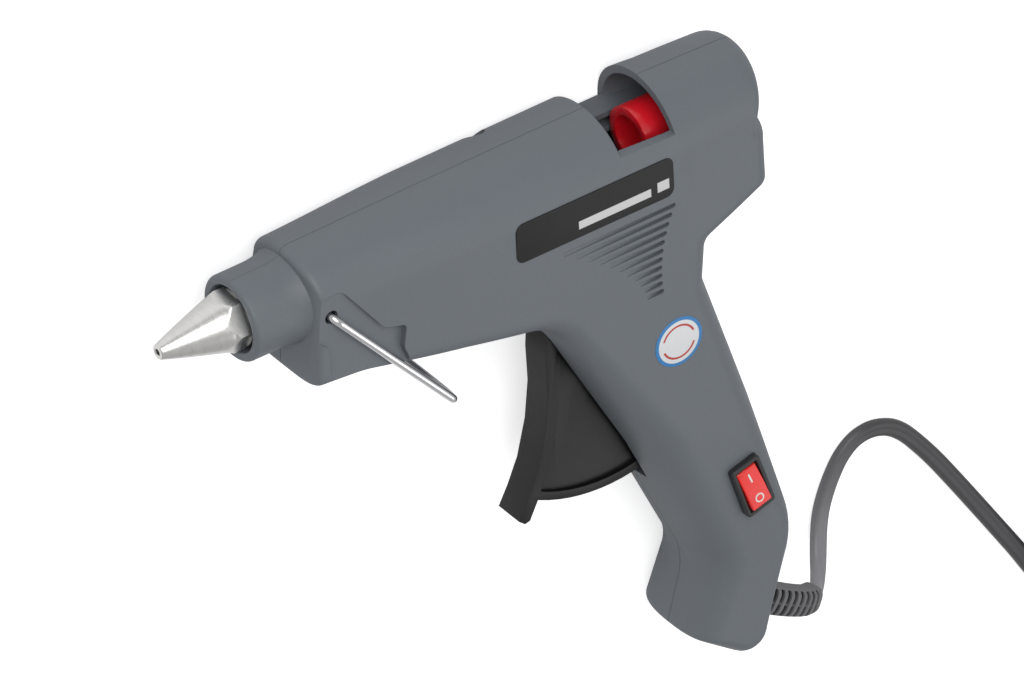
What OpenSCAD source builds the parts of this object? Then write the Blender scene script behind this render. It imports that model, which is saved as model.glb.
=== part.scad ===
// Hot-melt glue gun for 11.2 mm sticks, lying on its right side, in millimetres.
// X runs from the nozzle to the rear, Y is the gun's own up, Z is its left side.
// The origin is on the barrel's axis, in the front face of the nozzle collar.

/* [Casing] */
// Half of the casing's thickness at the label
half_width = 17.5; // [16:0.1:19]
// Half of the casing's thickness behind the collar
front_half_width = 15.4; // [14.9:0.1:16]
// Half of the casing's thickness at the handle's foot
foot_half_width = 15.2; // [14:0.1:17]
// Thickness of the moulded walls
wall = 2.2; // [1.6:0.1:2.4]
// Height of the front housing's top above the axis
barrel_top = 15.5; // [15.2:0.1:16.4]
// Height of the stick hood's top above the axis
hood_top = 18.2; // [17.5:0.1:19.5]
// Start of the feed window, where the front housing ends
window_front = 109; // [106:0.5:110]
// Length of the feed window along the barrel
window_length = 16.4; // [14:0.2:18]
// Height of the feed window's sill above the axis, on the left
window_sill = 8.6; // [7:0.1:9]
// Height of the feed window's sill on the right
right_sill = -3.6; // [-4:0.1:8.6]
// Rear end of the stick hood
hood_end = 156.6; // [155:0.2:158]

/* [Collar and nozzle] */
// Outer radius of the collar
collar_r = 11.7; // [11.2:0.1:12.2]
// Radius of the collar's hole round the nozzle
collar_hole_r = 9.2; // [8.8:0.1:9.4]
// Length of the collar's round outside
collar_length = 8; // [6:0.5:9]
// Length of the nozzle ahead of the collar
nozzle_length = 22.3; // [18:0.1:28]
// Radius of the nozzle's flat tip
nozzle_tip_r = 2.2; // [1.8:0.1:3]
// Radius of the hole that the glue leaves by
orifice_r = 0.9; // [0.5:0.05:1.5]
// Radius of the nozzle's hexagonal base, across corners
nozzle_base_r = 8.3; // [7.5:0.1:8.4]

/* [Stick path] */
// Radius of the bore that a glue stick slides in
stick_bore_r = 6.05; // [5.9:0.05:6.3]
// Outer radius of the melt chamber
chamber_r = 8.4; // [8:0.1:9]
// Rear end of the melt chamber
chamber_end = 62; // [56:0.5:66]
// Outer radius of the feed carriage
carriage_r = 8.4; // [7.8:0.1:8.6]
// Front face of the feed carriage with the trigger released
carriage_front = 122.4; // [121.5:0.1:123]
// Length of the feed carriage
carriage_length = 20; // [18:0.5:21]

/* [Trigger] */
// Place of the trigger's pivot along the barrel
pivot_x = 108; // [107:0.1:109]
// Height of the trigger's pivot
pivot_y = -52; // [-53:0.1:-51]
// Radius of the trigger's pivot pin
pivot_pin_r = 1.5; // [1.2:0.05:1.8]
// Radius of the trigger's lower rim about its pivot
rim_r = 46.6; // [44:0.1:47]
// Half of the width of the finger plate
plate_half = 4.4; // [4:0.1:4.6]
// Thickness of the finger plate
plate_thickness = 3.2; // [2.6:0.1:3.6]
// Running gap between moving parts
gap = 0.4; // [0.3:0.05:0.6]
// Radial clearance of pins in their bores
pin_clearance = 0.05; // [0.03:0.01:0.08]

/* [Stand] */
// Radius of the stand's steel wire
wire_r = 1.1; // [0.9:0.05:1.2]
// Length of the stand's straight legs
stand_length = 51.4; // [44:0.2:56]
// Angle of the stand's legs below the rearward direction
stand_angle = 49.5; // [47:0.5:60]
// Radius of the bow of the stand's foot
stand_bow_r = 26; // [20:0.5:40]

/* [Switch] */
// Length of the switch's bezel
bezel_length = 16.7; // [15.5:0.1:18]
// Width of the switch's bezel
bezel_width = 9; // [8.6:0.1:10]
// Height of the bezel above the casing
bezel_height = 1.6; // [1.2:0.1:2]
// Turn of the switch from the vertical
switch_tilt = 16.7; // [12:0.1:20]

/* [Label and sticker] */
// Length of the rating label
label_length = 48.4; // [40:0.2:52]
// Height of the rating label
label_height = 11.8; // [9:0.2:12]
// Radius of the round sticker
sticker_r = 7.15; // [5:0.05:8]
// Thickness of the label and the sticker
label_thickness = 0.2; // [0.1:0.05:0.3]

/* [Cord] */
// Width of the flat twin cord
cord_width = 4.8; // [4.4:0.1:5.2]
// Thickness of the flat twin cord
cord_thickness = 3; // [2.8:0.1:3.2]
// Radius of the cord coil at the middle of its turns
coil_r = 27; // [25:0.5:28]
// Turns in the coil
coil_turns = 7; // [6:1:8]

/* [Hidden] */

casing_grey = "#70757a";
dark_grey = "#4a4d4d";
black = "#262628";
red = "#e61428";
aluminium = "#d2d2cd";
steel = "#b9bcc0";
cord_grey = "#5a5d5c";

function unit(v) = v / norm(v);
function at(angle, r) = r * [cos(angle), sin(angle)];

// Points of the arc that rounds corner b of the path a, b, c with radius r; on a path that
// runs straight on, points within r of b.
function corner_arc(a, b, c, r, steps) =
    let (u = unit(a - b), v = unit(c - b), half = acos(max(-1, u * v)) / 2)
    let (centre = b + unit(u + v) * r / sin(half), start = b + u * r / tan(half))
    let (stop = b + v * r / tan(half), s = start - centre, e = stop - centre)
    let (a0 = atan2(s.y, s.x), turn = (atan2(e.y, e.x) - a0 + 540) % 360 - 180)
    [for (i = [0:steps])
        half > 89.5 ? b + u * r * (1 - 2 * i / steps) : centre + at(a0 + turn * i / steps, r)];

// A closed outline with round corners, from a list of [corner, radius].
function rounded(corners, steps) =
    let (n = len(corners))
    [for (i = [0:n - 1])
        each corner_arc(corners[(i + n - 1) % n][0], corners[i][0], corners[(i + 1) % n][0],
            corners[i][1], steps)];

// ---- The casing's form ----
// Each corner is [parting-line corner, its radius, side-face corner, its radius, half-thickness,
// power of the crown's curve].
front_x = 14.3;
shoulder_x = 15.6;
belly_y = -21.1;
side_top = 2.5;
window_rear = window_front + window_length;
guide_end = hood_end - 4.6;
casing_corners = [
    [[front_x, belly_y], 2, [front_x + 3.9, belly_y + 5.7], 1, front_half_width, 4.5],
    [[30, -22.5], 40, [31, -16.5], 30, front_half_width + 0.3, 4],
    [[60, -29.6], 10, [60, -22.6], 10, half_width, 3],
    [[88, -37.8], 22, [91, -30.2], 18, half_width, 2.2],
    [[112.8, -86.8], 60, [124, -83], 40, half_width, 2],
    [[133, -133.5], 18, [143.4, -132], 14, foot_half_width + 0.7, 2.1],
    [[127, -152.6], 1.6, [134.6, -152.6], 1.6, foot_half_width, 2.6],
    [[145.6, -167.6], 6, [145, -160.5], 4, foot_half_width, 2.1],
    [[162, -130], 24, [152, -130], 16, foot_half_width + 0.8, 1.9],
    [[149.9, -85.5], 5, [139.6, -86], 5, half_width, 1.9],
    [[136.6, -41], 12, [127, -42], 10, half_width, 2],
    [[137.6, -30.6], 4.5, [129, -25], 4, half_width, 2],
    [[156.6, -20.6], 2.5, [148.5, -16.6], 2, half_width - 0.6, 2.2],
    [[157, -4], 2.6, [148.8, -6], 1.6, half_width - 1.3, 2.2],
    [[hood_end - 2.4, -1.6], 1.5, [hood_end - 8.6, -3], 1.5, half_width - 1.5, 2],
    [[hood_end, hood_top - 1], 5, [hood_end - 5.2, side_top], 2, half_width - 1.8, 2],
    [[window_rear - 1, hood_top], 8, [window_rear - 1, side_top], 1, half_width, 2],
    [[window_front + 1, barrel_top], 8, [window_front, side_top], 3, half_width, 2],
    [[62, barrel_top - 0.1], 5, [62, side_top], 5, half_width, 2],
    [[shoulder_x, barrel_top - 0.6], 2.2, [shoulder_x + 3.4, side_top - 0.5], 1, front_half_width, 2]
];
// The side face in parts, each as the runs of corners that bound it.
side_parts = [[[18, 22]], [[2, 4], [9, 11], [16, 18]], [[4, 9]], [[11, 16]]];
corner_steps = 4;
crown_steps = 5;
casing_outline = rounded([for (c = casing_corners) [c[0], c[1]]], corner_steps);
side_outline = rounded([for (c = casing_corners) [c[2], c[3]]], corner_steps);
side_heights = [for (c = casing_corners) for (i = [0:corner_steps]) c[4]];
crown_powers = [for (c = casing_corners) for (i = [0:corner_steps]) c[5]];

// One half of the casing's form: quarter superellipses from the parting line to the side face,
// set in by the given wall and carried past the parting plane by the given skirt.
module half_form(inset, skirt) {
    n = len(casing_outline);
    rim = [for (j = [0:n - 1])
        casing_outline[j] + unit(side_outline[j] - casing_outline[j]) * inset];
    levels = [for (k = [0:crown_steps]) 90 * k / crown_steps];
    points = [
        for (j = [0:n - 1]) [rim[j].x, rim[j].y, -skirt],
        for (t = levels) for (j = [0:n - 1])
            let (c = pow(cos(t), 2 / crown_powers[j]), s = pow(sin(t), 2 / crown_powers[j]))
            let (p = side_outline[j] + (rim[j] - side_outline[j]) * c)
            [p.x, p.y, (side_heights[j] - inset) * s]
    ];
    first = skirt > 0 ? 0 : 1;
    last = crown_steps + 1;
    sides = [for (k = [first:last - 1]) for (j = [0:n - 1])
        let (a = k * n + j, b = k * n + (j + 1) % n)
        each [[a, a + n, b + n], [a, b + n, b]]];
    base = [for (j = [0:n - 1]) first * n + j];
    span = corner_steps + 1;
    mid = corner_steps / 2;
    tops = [for (part = side_parts)
        let (path = [for (run = part) each [run.x * span + mid:run.y * span + mid]])
        [for (i = [len(path) - 1:-1:0]) last * n + path[i] % n]];
    polyhedron(points, concat(sides, [base], tops), convexity = 8);
}

// ---- Places that several pieces share ----
shell_reach = half_width + 3;
screw_places = [[24, -16.6], [66, -23], [84, 10.6], [146, -13], [131, -62], [143.5, -133.5]];
screw_r = 1.45;
screw_head_r = 2.8;
screw_head_height = 2;
boss_r = 3.2;
head_seat_z = -7;
pilot_depth = 9;
pivot = [pivot_x, pivot_y];
stand_pivot = [20.5, -0.5];
stand_leg_z = half_width - wire_r - 0.3;
stand_pin_inner = 10.6;
pocket_floor = stand_leg_z - wire_r - gap;
switch_place = [142.3, -106.6];
switch_face = half_width - 0.8;
switch_case = [bezel_width - 1.2, bezel_length - 2.2];
switch_depth = 11;
label_place = [99.1, -1.95];
sticker_place = [122.5, -53.1];
relief_exit = [154, -156.7];
relief_angle = -32;
slot_half = plate_half + 0.7;
insulator_r = 12.4;
insulator_width = 4;
front_seat_x = 26;
rear_seat_x = 50;
hub_r = 5;
hub_half = 5.4;
fin_y = 1.1;
fin_z = 10.6;
clamp_thickness = 2.4;
clamp_top = cord_thickness / 2 + clamp_thickness;
clamp_screw_y = 5.4;
clamp_screw_r = 1.05;
spring_post = [136.6, pivot_y + 20.5];
spring_post_r = 1.6;
clamp_along = -19;
guide_front = carriage_front + carriage_length + 0.6;
lead_notch_bottom = 19.5;
lead_notch_half = 5;

// ---- Casing ----
module in_handle(along, z) {
    translate([relief_exit.x, relief_exit.y, z])
        rotate([0, 0, relief_angle])
            translate([along, 0, 0])
                children();
}

module along_x(x) {
    translate([x, 0, 0])
        rotate([0, 90, 0])
            children();
}

// The collar and the flare behind it, as one turned ring.
module neck() {
    flare_end = shoulder_x + 2;
    flare_r = front_half_width - 0.9;
    flare_start = collar_length + 1.5;
    along_x(0)
        rotate_extrude($fn = 96)
            polygon([
                [collar_hole_r, 0],
                [collar_r, 0],
                [collar_r, collar_length],
                each [for (a = [0:15:75])
                    [flare_r - (flare_r - collar_r) * cos(a),
                     flare_start + (flare_end - flare_start - 1) * sin(a)]],
                [flare_r, flare_end],
                [collar_hole_r, flare_end]
            ]);
}

module boss(place, radius, from, to) {
    translate([place.x, place.y, from])
        cylinder(r = radius, h = to - from, $fn = 24);
}

// Ribs, seats and bosses inside one half; the casing's own form cuts them off.
module inner_ribs(clamp_pad_z) {
    for (p = screw_places)
        boss(p, boss_r, 0, half_width);
    boss(pivot, 4, hub_half + gap, half_width);
    boss(stand_pivot, 3.4, stand_pin_inner, half_width);
    boss(spring_post, spring_post_r, 0, half_width);
    in_handle(clamp_along - 2.5, clamp_pad_z)
        translate([0, -8, 0])
            cube([5, 16, half_width]);
    for (x = [front_seat_x, rear_seat_x])
        translate([x - insulator_width / 2 - 1, -24, 0])
            cube([insulator_width + 2, 42, half_width]);
    translate([window_front - 3, -9, 0])
        cube([3, 27, half_width]);
    for (s = [-1, 1])
        translate([window_front - 3, s * (fin_y + gap + 0.8) - 0.8, carriage_r + 0.6])
            cube([guide_front + 4 - window_front, 1.6, half_width]);
    translate([guide_front + 1, -16, 0])
        cube([guide_end - guide_front - 1, 34, half_width]);
    in_handle(-15, 0)
        translate([0, -9, 0])
            cube([18, 18, half_width]);
}

// Ways through the walls and the ribs that hold no turned piece.
module plain_openings(sill) {
    translate([window_front, sill, -1])
        cube([window_length, 30, shell_reach]);
    along_x(window_front - 4)
        cylinder(r = carriage_r + gap, h = 5, $fn = 64);
    for (x = [front_seat_x, rear_seat_x])
        along_x(x - insulator_width)
            cylinder(r = insulator_r - 1.2, h = 2 * insulator_width, $fn = 64);
    translate([rear_seat_x - insulator_width, -lead_notch_bottom, -1])
        cube([2 * insulator_width, 10, 1 + lead_notch_half]);
    translate([0, 0, -1])
        linear_extrude(slot_half + 1)
            polygon([[pivot.x - 18.2, -30], [pivot.x - 18.2, -58], [104, -82], [117.5, -101],
                [122.6, -101], [124, -74], [126, -40], [120, -30]]);
    translate([0, 0, pocket_floor])
        linear_extrude(10)
            polygon(rounded([[[19.5, -34], 1], [[18.9, -9], 3], [[14.5, -5], 3], [[16.6, 5.2], 3],
                [[23.5, 6.4], 3.4], [[35.2, -9.6], 3], [[41.6, -11.2], 1.4], [[40.6, -18], 4],
                [[43.6, -25.5], 1], [[43.6, -34], 1]], 4));
}

// True round seats and bores.
module round_openings() {
    for (x = [front_seat_x, rear_seat_x])
        along_x(x - insulator_width / 2)
            cylinder(r = insulator_r, h = insulator_width);
    along_x(-1)
        cylinder(r = collar_hole_r, h = shoulder_x + 6);
    along_x(guide_end - 2)
        cylinder(r = stick_bore_r + 1.6, h = 10);
    along_x(guide_front)
        cylinder(r = stick_bore_r + 3.2, h = guide_end - 1 - guide_front);
    boss(stand_pivot, wire_r + pin_clearance, 0, shell_reach);
    boss(stand_pivot, wire_r + 0.8, stand_leg_z - stand_bend - 0.2, shell_reach);
    in_handle(-9, 0)
        along_x(0)
            cylinder(r = 5.6, h = 4);
    in_handle(-20, 0)
        along_x(0)
            cylinder(r = 4.1, h = 40);
}

// One half of the casing, with the children cut out of it; the cord clamp's pad starts at
// clamp_pad_z and the window at the sill. resize() keeps every size here.
module half_casing(clamp_pad_z, sill) {
    difference() {
        union() {
            resize([0, 0, 0])
                difference() {
                    union() {
                        difference() {
                            half_form(0, 0);
                            half_form(wall, 1);
                        }
                        intersection() {
                            half_form(0, 0);
                            inner_ribs(clamp_pad_z);
                        }
                    }
                    plain_openings(sill);
                    vent_grooves();
                    children();
                }
            intersection() {
                neck();
                translate([-1, -20, 0])
                    cube([40, 40, 20]);
            }
        }
        round_openings();
    }
}

// Parallel vent grooves under the label, shorter and deeper to the rear.
vent_count = 11;
vent_pitch = 2.44;
vent_top = -11.3;
vent_width = 1.3;
vent_depth = 0.9;
function vent_start(i) = 113.8 - 24.4 * pow((vent_count - 1 - i) / (vent_count - 1), 1.6);
function vent_end(i) = 117.9 + 5 * pow((i - 8) / 8, 2);

// Each groove is one polygon, straight from its start and half round at its end.
module vent_grooves() {
    r = vent_width / 2;
    for (i = [0:vent_count - 1])
        translate([0, vent_top - vent_pitch * i, half_width - vent_depth])
            linear_extrude(3)
                polygon(concat([[vent_start(i), r], [vent_start(i), -r]],
                    [for (a = [-90:30:90]) [vent_end(i) + r * cos(a), r * sin(a)]]));
}

module at_switch(z) {
    translate([switch_place.x, switch_place.y, z])
        rotate([0, 0, switch_tilt])
            children();
}

module left_shell() {
    color(casing_grey)
        difference() {
            half_casing(clamp_top + screw_head_height, window_sill) {
                at_switch(0)
                    translate([-switch_case.x / 2, -switch_case.y / 2, 0])
                        cube([switch_case.x, switch_case.y, shell_reach]);
                at_switch(switch_face)
                    translate([-bezel_width / 2, -bezel_length / 2, 0])
                        cube([bezel_width, bezel_length, 5]);
            }
            for (p = screw_places)
                boss(p, screw_r + pin_clearance, -1, pilot_depth);
            boss(pivot, pivot_pin_r, 0, hub_half + gap + 7);
        }
}

module right_shell() {
    color(casing_grey)
        difference() {
            mirror([0, 0, 1])
                half_casing(cord_thickness / 2, right_sill);
            in_handle(clamp_along, 0)
                for (s = [-1, 1])
                    translate([0, s * clamp_screw_y, -9])
                        cylinder(r = clamp_screw_r, h = 10, $fn = 24);
            for (p = screw_places) {
                boss(p, screw_r + 0.2, head_seat_z - 1, 1);
                boss(p, boss_r - 0.2, -shell_reach, head_seat_z);
            }
            boss(pivot, pivot_pin_r, -hub_half - gap - 7, 0);
        }
}

module case_screws() {
    color(steel)
        for (p = screw_places) {
            boss(p, screw_r, head_seat_z, pilot_depth - 1);
            difference() {
                boss(p, screw_head_r, head_seat_z - screw_head_height, head_seat_z);
                for (a = [0, 90])
                    translate([p.x, p.y, head_seat_z - screw_head_height])
                        rotate([0, 0, a])
                            cube([3, 0.7, 1.6], center = true);
            }
        }
}

// ---- Melting unit ----
thread_r = 4;
thread_length = 8;
chamber_front = 1.2;
channel_r = 2;
heater_x = front_seat_x + insulator_width / 2 + 1.4;
heater_size = [rear_seat_x - front_seat_x - insulator_width - 2.8, 2.6, 9.6];
heater_y = -12;
heater_block = 12.8;

module nozzle() {
    base_length = 5.4;
    color(aluminium)
        difference() {
            union() {
                along_x(-nozzle_length)
                    rotate_extrude($fn = 64)
                        polygon([[0, 0], [nozzle_tip_r - 0.3, 0], [nozzle_tip_r, 0.4],
                            [nozzle_base_r - 1.5, nozzle_length - base_length],
                            [nozzle_base_r - 1.5, nozzle_length - base_length + 0.5],
                            [0, nozzle_length - base_length + 0.5]]);
                along_x(-base_length)
                    cylinder(r = nozzle_base_r, h = base_length + chamber_front, $fn = 6);
                along_x(0)
                    cylinder(r = thread_r - 0.02, h = chamber_front + thread_length, $fn = 48);
            }
            along_x(-nozzle_length - 1)
                cylinder(r = orifice_r, h = nozzle_length + 20, $fn = 32);
            along_x(-nozzle_length + 5)
                cylinder(r = channel_r, h = nozzle_length + 20, $fn = 32);
        }
}

module melt_chamber() {
    mouth = 24;
    neck_r = 7.2;
    neck_x = chamber_end - 8;
    color(aluminium)
        difference() {
            union() {
                along_x(chamber_front)
                    cylinder(r = 7.8, h = 20, $fn = 64);
                along_x(19)
                    cylinder(r = chamber_r, h = neck_x - 19, $fn = 64);
                along_x(neck_x)
                    cylinder(r = neck_r, h = 8, $fn = 64);
                translate([heater_x, heater_y - 2, -heater_block / 2])
                    cube([heater_size.x, 10, heater_block]);
            }
            along_x(0)
                cylinder(r = thread_r, h = chamber_front + thread_length + 1, $fn = 48);
            along_x(8)
                cylinder(r = channel_r, h = 10, $fn = 32);
            along_x(14)
                cylinder(r1 = channel_r, r2 = stick_bore_r - 0.15, h = mouth - 14, $fn = 64);
            along_x(mouth)
                cylinder(r = stick_bore_r - 0.15, h = 60, $fn = 64);
            translate([heater_x - 1, heater_y - 0.05, -heater_size.z / 2 - 0.05])
                cube([heater_size.x + 2, heater_size.y + 0.1, heater_size.z + 0.1]);
        }
}

module ptc_heater() {
    color("#c9b27a")
        translate([heater_x, heater_y, -heater_size.z / 2])
            cube(heater_size);
}

module heater_clip() {
    sheet = 0.6;
    clip_half = heater_block / 2 + 0.02;
    color(steel)
        translate([heater_x + 4, heater_y - 2.02 - sheet, 0])
            difference() {
                translate([0, 0, -clip_half - sheet])
                    cube([9, 6, 2 * (clip_half + sheet)]);
                translate([-1, sheet, -clip_half])
                    cube([11, 8, 2 * clip_half]);
            }
}

module insulator(x) {
    color("#e8e4d8")
        difference() {
            along_x(x - insulator_width / 2)
                cylinder(r = insulator_r - 0.05, h = insulator_width, $fn = 64);
            along_x(x - insulator_width)
                cylinder(r = chamber_r + 0.02, h = 2 * insulator_width, $fn = 64);
        }
}

module front_insulator() {
    insulator(front_seat_x);
}

module rear_insulator() {
    difference() {
        insulator(rear_seat_x);
        translate([rear_seat_x - insulator_width, -lead_notch_bottom, -lead_notch_half])
            cube([2 * insulator_width, 10, 2 * lead_notch_half]);
    }
}

sleeve_r = 9;
module stick_sleeve() {
    start = chamber_end - 6;
    color("#c8c4b4")
        difference() {
            along_x(start)
                cylinder(r = sleeve_r, h = 24, $fn = 64);
            along_x(start - 1)
                cylinder(r = 7.22, h = 7.02, $fn = 64);
            along_x(start)
                cylinder(r = stick_bore_r - 0.2, h = 30, $fn = 64);
        }
}

module sleeve_clamp() {
    color(steel)
        difference() {
            union() {
                along_x(chamber_end - 4)
                    cylinder(r = sleeve_r + 1, h = 3, $fn = 64);
                translate([chamber_end - 4, sleeve_r - 0.5, -1.5])
                    cube([3, 3.5, 3]);
            }
            along_x(chamber_end - 5)
                cylinder(r = sleeve_r + 0.02, h = 5, $fn = 64);
        }
}

module rear_guide() {
    color(red)
        difference() {
            union() {
                along_x(guide_front)
                    cylinder(r = stick_bore_r + 3.15, h = guide_end - 1 - guide_front, $fn = 64);
                along_x(guide_end - 1.1)
                    cylinder(r = stick_bore_r + 1.55, h = 1.1, $fn = 64);
            }
            along_x(guide_front - 1)
                cylinder(r = stick_bore_r, h = 20, $fn = 64);
        }
}

// ---- Feed ----
grip_pivot = [carriage_front + 5.1, -11.4];
drive_place = [pivot.x + 6, pivot.y + 32];
lever_half = 2;
grip_pin_r = 1;
drive_pin_r = 1.25;

module feed_carriage() {
    ear_outer = 4.2;
    color(red)
        difference() {
            union() {
                along_x(carriage_front)
                    cylinder(r = carriage_r, h = carriage_length, $fn = 64);
                translate([carriage_front + 1.6, -fin_y, -fin_z])
                    cube([carriage_length - 2.6, 2 * fin_y, 2 * fin_z]);
                translate([grip_pivot.x - 3.2, grip_pivot.y - 2.4, -ear_outer])
                    cube([6.4, 8, 2 * ear_outer]);
            }
            along_x(carriage_front - 1)
                cylinder(r = stick_bore_r, h = carriage_length + 2, $fn = 64);
            translate([carriage_front - 1, grip_pivot.y - 3, -lever_half - 0.35])
                cube([9.6, 9, 2 * lever_half + 0.7]);
            boss(grip_pivot, grip_pin_r, -10, 10);
        }
}

module grip_lever() {
    arm_r = 2.1;
    color(steel)
        difference() {
            translate([0, 0, -lever_half])
                linear_extrude(2 * lever_half)
                    union() {
                        translate(grip_pivot)
                            circle(r = arm_r, $fn = 32);
                        translate(drive_place)
                            circle(r = arm_r + 0.2, $fn = 32);
                        polygon([drive_place + [-1.2, 2], drive_place + [1.4, -1.8],
                            grip_pivot + [1.5, -1.5], grip_pivot + [1.9, 1],
                            [grip_pivot.x - 2.2, -stick_bore_r - 0.5],
                            [grip_pivot.x - 3.6, -stick_bore_r - 0.5],
                            grip_pivot + [-3.4, 1.6]]);
                    }
            boss(grip_pivot, grip_pin_r + pin_clearance, -5, 5);
            boss(drive_place, drive_pin_r, -5, 5);
        }
}

module grip_pin() {
    color(steel)
        boss(grip_pivot, grip_pin_r, -4.2, 4.2);
}

module drive_pin() {
    color(steel)
        boss(drive_place, drive_pin_r, -5.2, 5.2);
}

// ---- Trigger ----
cap_r = 17;
function about_pivot(angle, r) = pivot + at(angle, r);
plate_front = [
    each [for (a = [140:10:180]) about_pivot(a, cap_r)],
    [91.2, -63], [89.8, -74], [86.9, -84.8], [83.6, -92], [80.6, -97.4]
];
plate_back = [
    [82.4, -99], [84, -98.6], [86.8, -93.2], [90.1, -85.8], [93, -74.6], [94.4, -63.2],
    about_pivot(180, cap_r - plate_thickness), about_pivot(140, cap_r - plate_thickness)
];

module trigger() {
    web_half = 3;
    rim_thickness = 2.4;
    rim_from = 239.5;
    rim_to = 294;
    prong_inner = lever_half + gap;
    prong_outer = 5.2;
    lean = atan2(drive_place.y - pivot.y, drive_place.x - pivot.x);
    prong_top = norm(drive_place - pivot) + 2.6;
    slot_from = norm(drive_place - pivot) - 2.2;
    slot_width = 2 * (drive_pin_r + 0.15);
    color(black)
        difference() {
            union() {
                translate([0, 0, -plate_half])
                    linear_extrude(2 * plate_half)
                        polygon(concat(plate_front, plate_back));
                translate([0, 0, -web_half])
                    linear_extrude(2 * web_half)
                        polygon([about_pivot(140, cap_r - 1), about_pivot(180, cap_r - 1),
                            [93.4, -74], [87.6, -91.6],
                            each [for (a = [rim_from:4:rim_to]) about_pivot(a, rim_r - 0.6)],
                            about_pivot(rim_to, rim_r - 0.6), about_pivot(330, hub_r),
                            about_pivot(60, hub_r)]);
                translate([0, 0, -plate_half])
                    linear_extrude(2 * plate_half)
                        polygon([
                            each [for (a = [rim_from:4:rim_to]) about_pivot(a, rim_r)],
                            about_pivot(rim_to, rim_r), about_pivot(rim_to, rim_r - rim_thickness),
                            each [for (a = [rim_to:-4:rim_from])
                                about_pivot(a, rim_r - rim_thickness)]
                        ]);
                boss(pivot, hub_r, -hub_half, hub_half);
                for (side = [-1, 1])
                    translate([pivot.x, pivot.y, side * (prong_inner + prong_outer) / 2])
                        rotate([0, 0, lean])
                            translate([0, -3.4, -(prong_outer - prong_inner) / 2])
                                cube([prong_top, 6.8, prong_outer - prong_inner]);
                translate([pivot.x, pivot.y, -prong_outer])
                    rotate([0, 0, lean])
                        translate([18, -2, 0])
                            cube([5, 4, 2 * prong_outer]);
            }
            boss(pivot, pivot_pin_r + pin_clearance, -9, 9);
            translate([pivot.x, pivot.y, -9])
                rotate([0, 0, lean])
                    translate([slot_from, -slot_width / 2, 0])
                        cube([20, slot_width, 18]);
        }
}

module trigger_pin() {
    color(steel)
        boss(pivot, pivot_pin_r, -hub_half - gap - 7, hub_half + gap + 7);
}

module return_spring() {
    spring_from = pivot.x + 6.4;
    spring_length = spring_post.x - spring_post_r - 0.02 - spring_from;
    color(steel)
        translate([spring_from, spring_post.y, 0])
            rotate([0, 90, 0])
                difference() {
                    cylinder(r = 2, h = spring_length, $fn = 32);
                    translate([0, 0, 1.4])
                        cylinder(r = 1.3, h = spring_length - 2.8, $fn = 32);
                }
}

// ---- Switch ----
module switch_body() {
    color(dark_grey)
        difference() {
            union() {
                at_switch(switch_face)
                    translate([-bezel_width / 2, -bezel_length / 2, 0])
                        cube([bezel_width, bezel_length, bezel_height + 0.8]);
                at_switch(switch_face - switch_depth)
                    translate([-switch_case.x / 2, -switch_case.y / 2, 0])
                        cube([switch_case.x, switch_case.y, switch_depth + 0.5]);
            }
            at_switch(switch_face - 3)
                translate([-rocker_half - 0.3, -6.8, 0])
                    cube([2 * rocker_half + 0.6, 13.6, 10]);
            across_switch(rocker_pin_r + pin_clearance, rocker_pin_reach + 0.25);
        }
}

module switch_terminals() {
    color("#c8a050")
        for (s = [-1, 1])
            at_switch(switch_face - switch_depth - 4)
                translate([-1.5, s * 4 - 0.4, 0])
                    cube([3, 0.8, 4]);
}

rocker_axis_z = switch_face + 0.4;
rocker_half = bezel_width / 2 - 1.5;
rocker_pin_r = 0.9;
rocker_pin_reach = switch_case.x / 2 - 0.05;

// Round bar along the rocker's own axis.
module across_switch(r, reach) {
    at_switch(rocker_axis_z)
        rotate([0, 90, 0])
            translate([0, 0, -reach])
                cylinder(r = r, h = 2 * reach, $fn = 32);
}

// Rocker section along its length, as [height about the axis, along].
module rocker() {
    color(red) {
        at_switch(0)
            rotate([0, -90, 0])
                translate([0, 0, -rocker_half])
                    linear_extrude(2 * rocker_half)
                        polygon([
                            [rocker_axis_z - 2.2, -1.4], [rocker_axis_z - 2.2, 1.4],
                            [rocker_axis_z - 0.6, 5.7], [rocker_axis_z + 1.1, 6],
                            [rocker_axis_z + 2.5, 0], [rocker_axis_z + 3.3, -6],
                            [rocker_axis_z + 1, -5.9]
                        ]);
        across_switch(rocker_pin_r, rocker_pin_reach);
    }
}

// ---- Stand ----
// The stand is bent in one plane, in which x runs along the legs and y across the gun. Its
// pins are true cylinders; the rest is a tube along a line of points.
stand_bend = 3;
stand_turn = acos((stand_leg_z - stand_bend) / (stand_bow_r - stand_bend));
stand_bow_x = stand_length + (stand_bend - stand_bow_r) * sin(stand_turn);
stand_side = [
    [0, stand_leg_z - stand_bend - 1],
    each [for (a = [180:-22.5:90]) [stand_bend, stand_leg_z - stand_bend] + at(a, stand_bend)],
    each [for (i = [0:3]) [stand_length, stand_leg_z - stand_bend]
        + at(90 - stand_turn * i / 3, stand_bend)],
    each [for (i = [1:3]) [stand_bow_x, 0] + at((90 - stand_turn) * (1 - i / 4), stand_bow_r)]
];
stand_route = [
    each [for (p = stand_side) [p.x, p.y, 0]],
    [stand_bow_x + stand_bow_r, 0, 0],
    each [for (i = [len(stand_side) - 1:-1:0]) [stand_side[i].x, -stand_side[i].y, 0]]
];

module wire_stand() {
    color(steel) {
        translate([stand_pivot.x, stand_pivot.y, 0])
            rotate([90, 0, -stand_angle])
                flat_tube(stand_route, 2 * wire_r - 0.04, 2 * wire_r - 0.04, 12);
        boss(stand_pivot, wire_r, stand_pin_inner, stand_leg_z - stand_bend);
        boss(stand_pivot, wire_r, stand_bend - stand_leg_z, -stand_pin_inner);
    }
}

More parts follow.
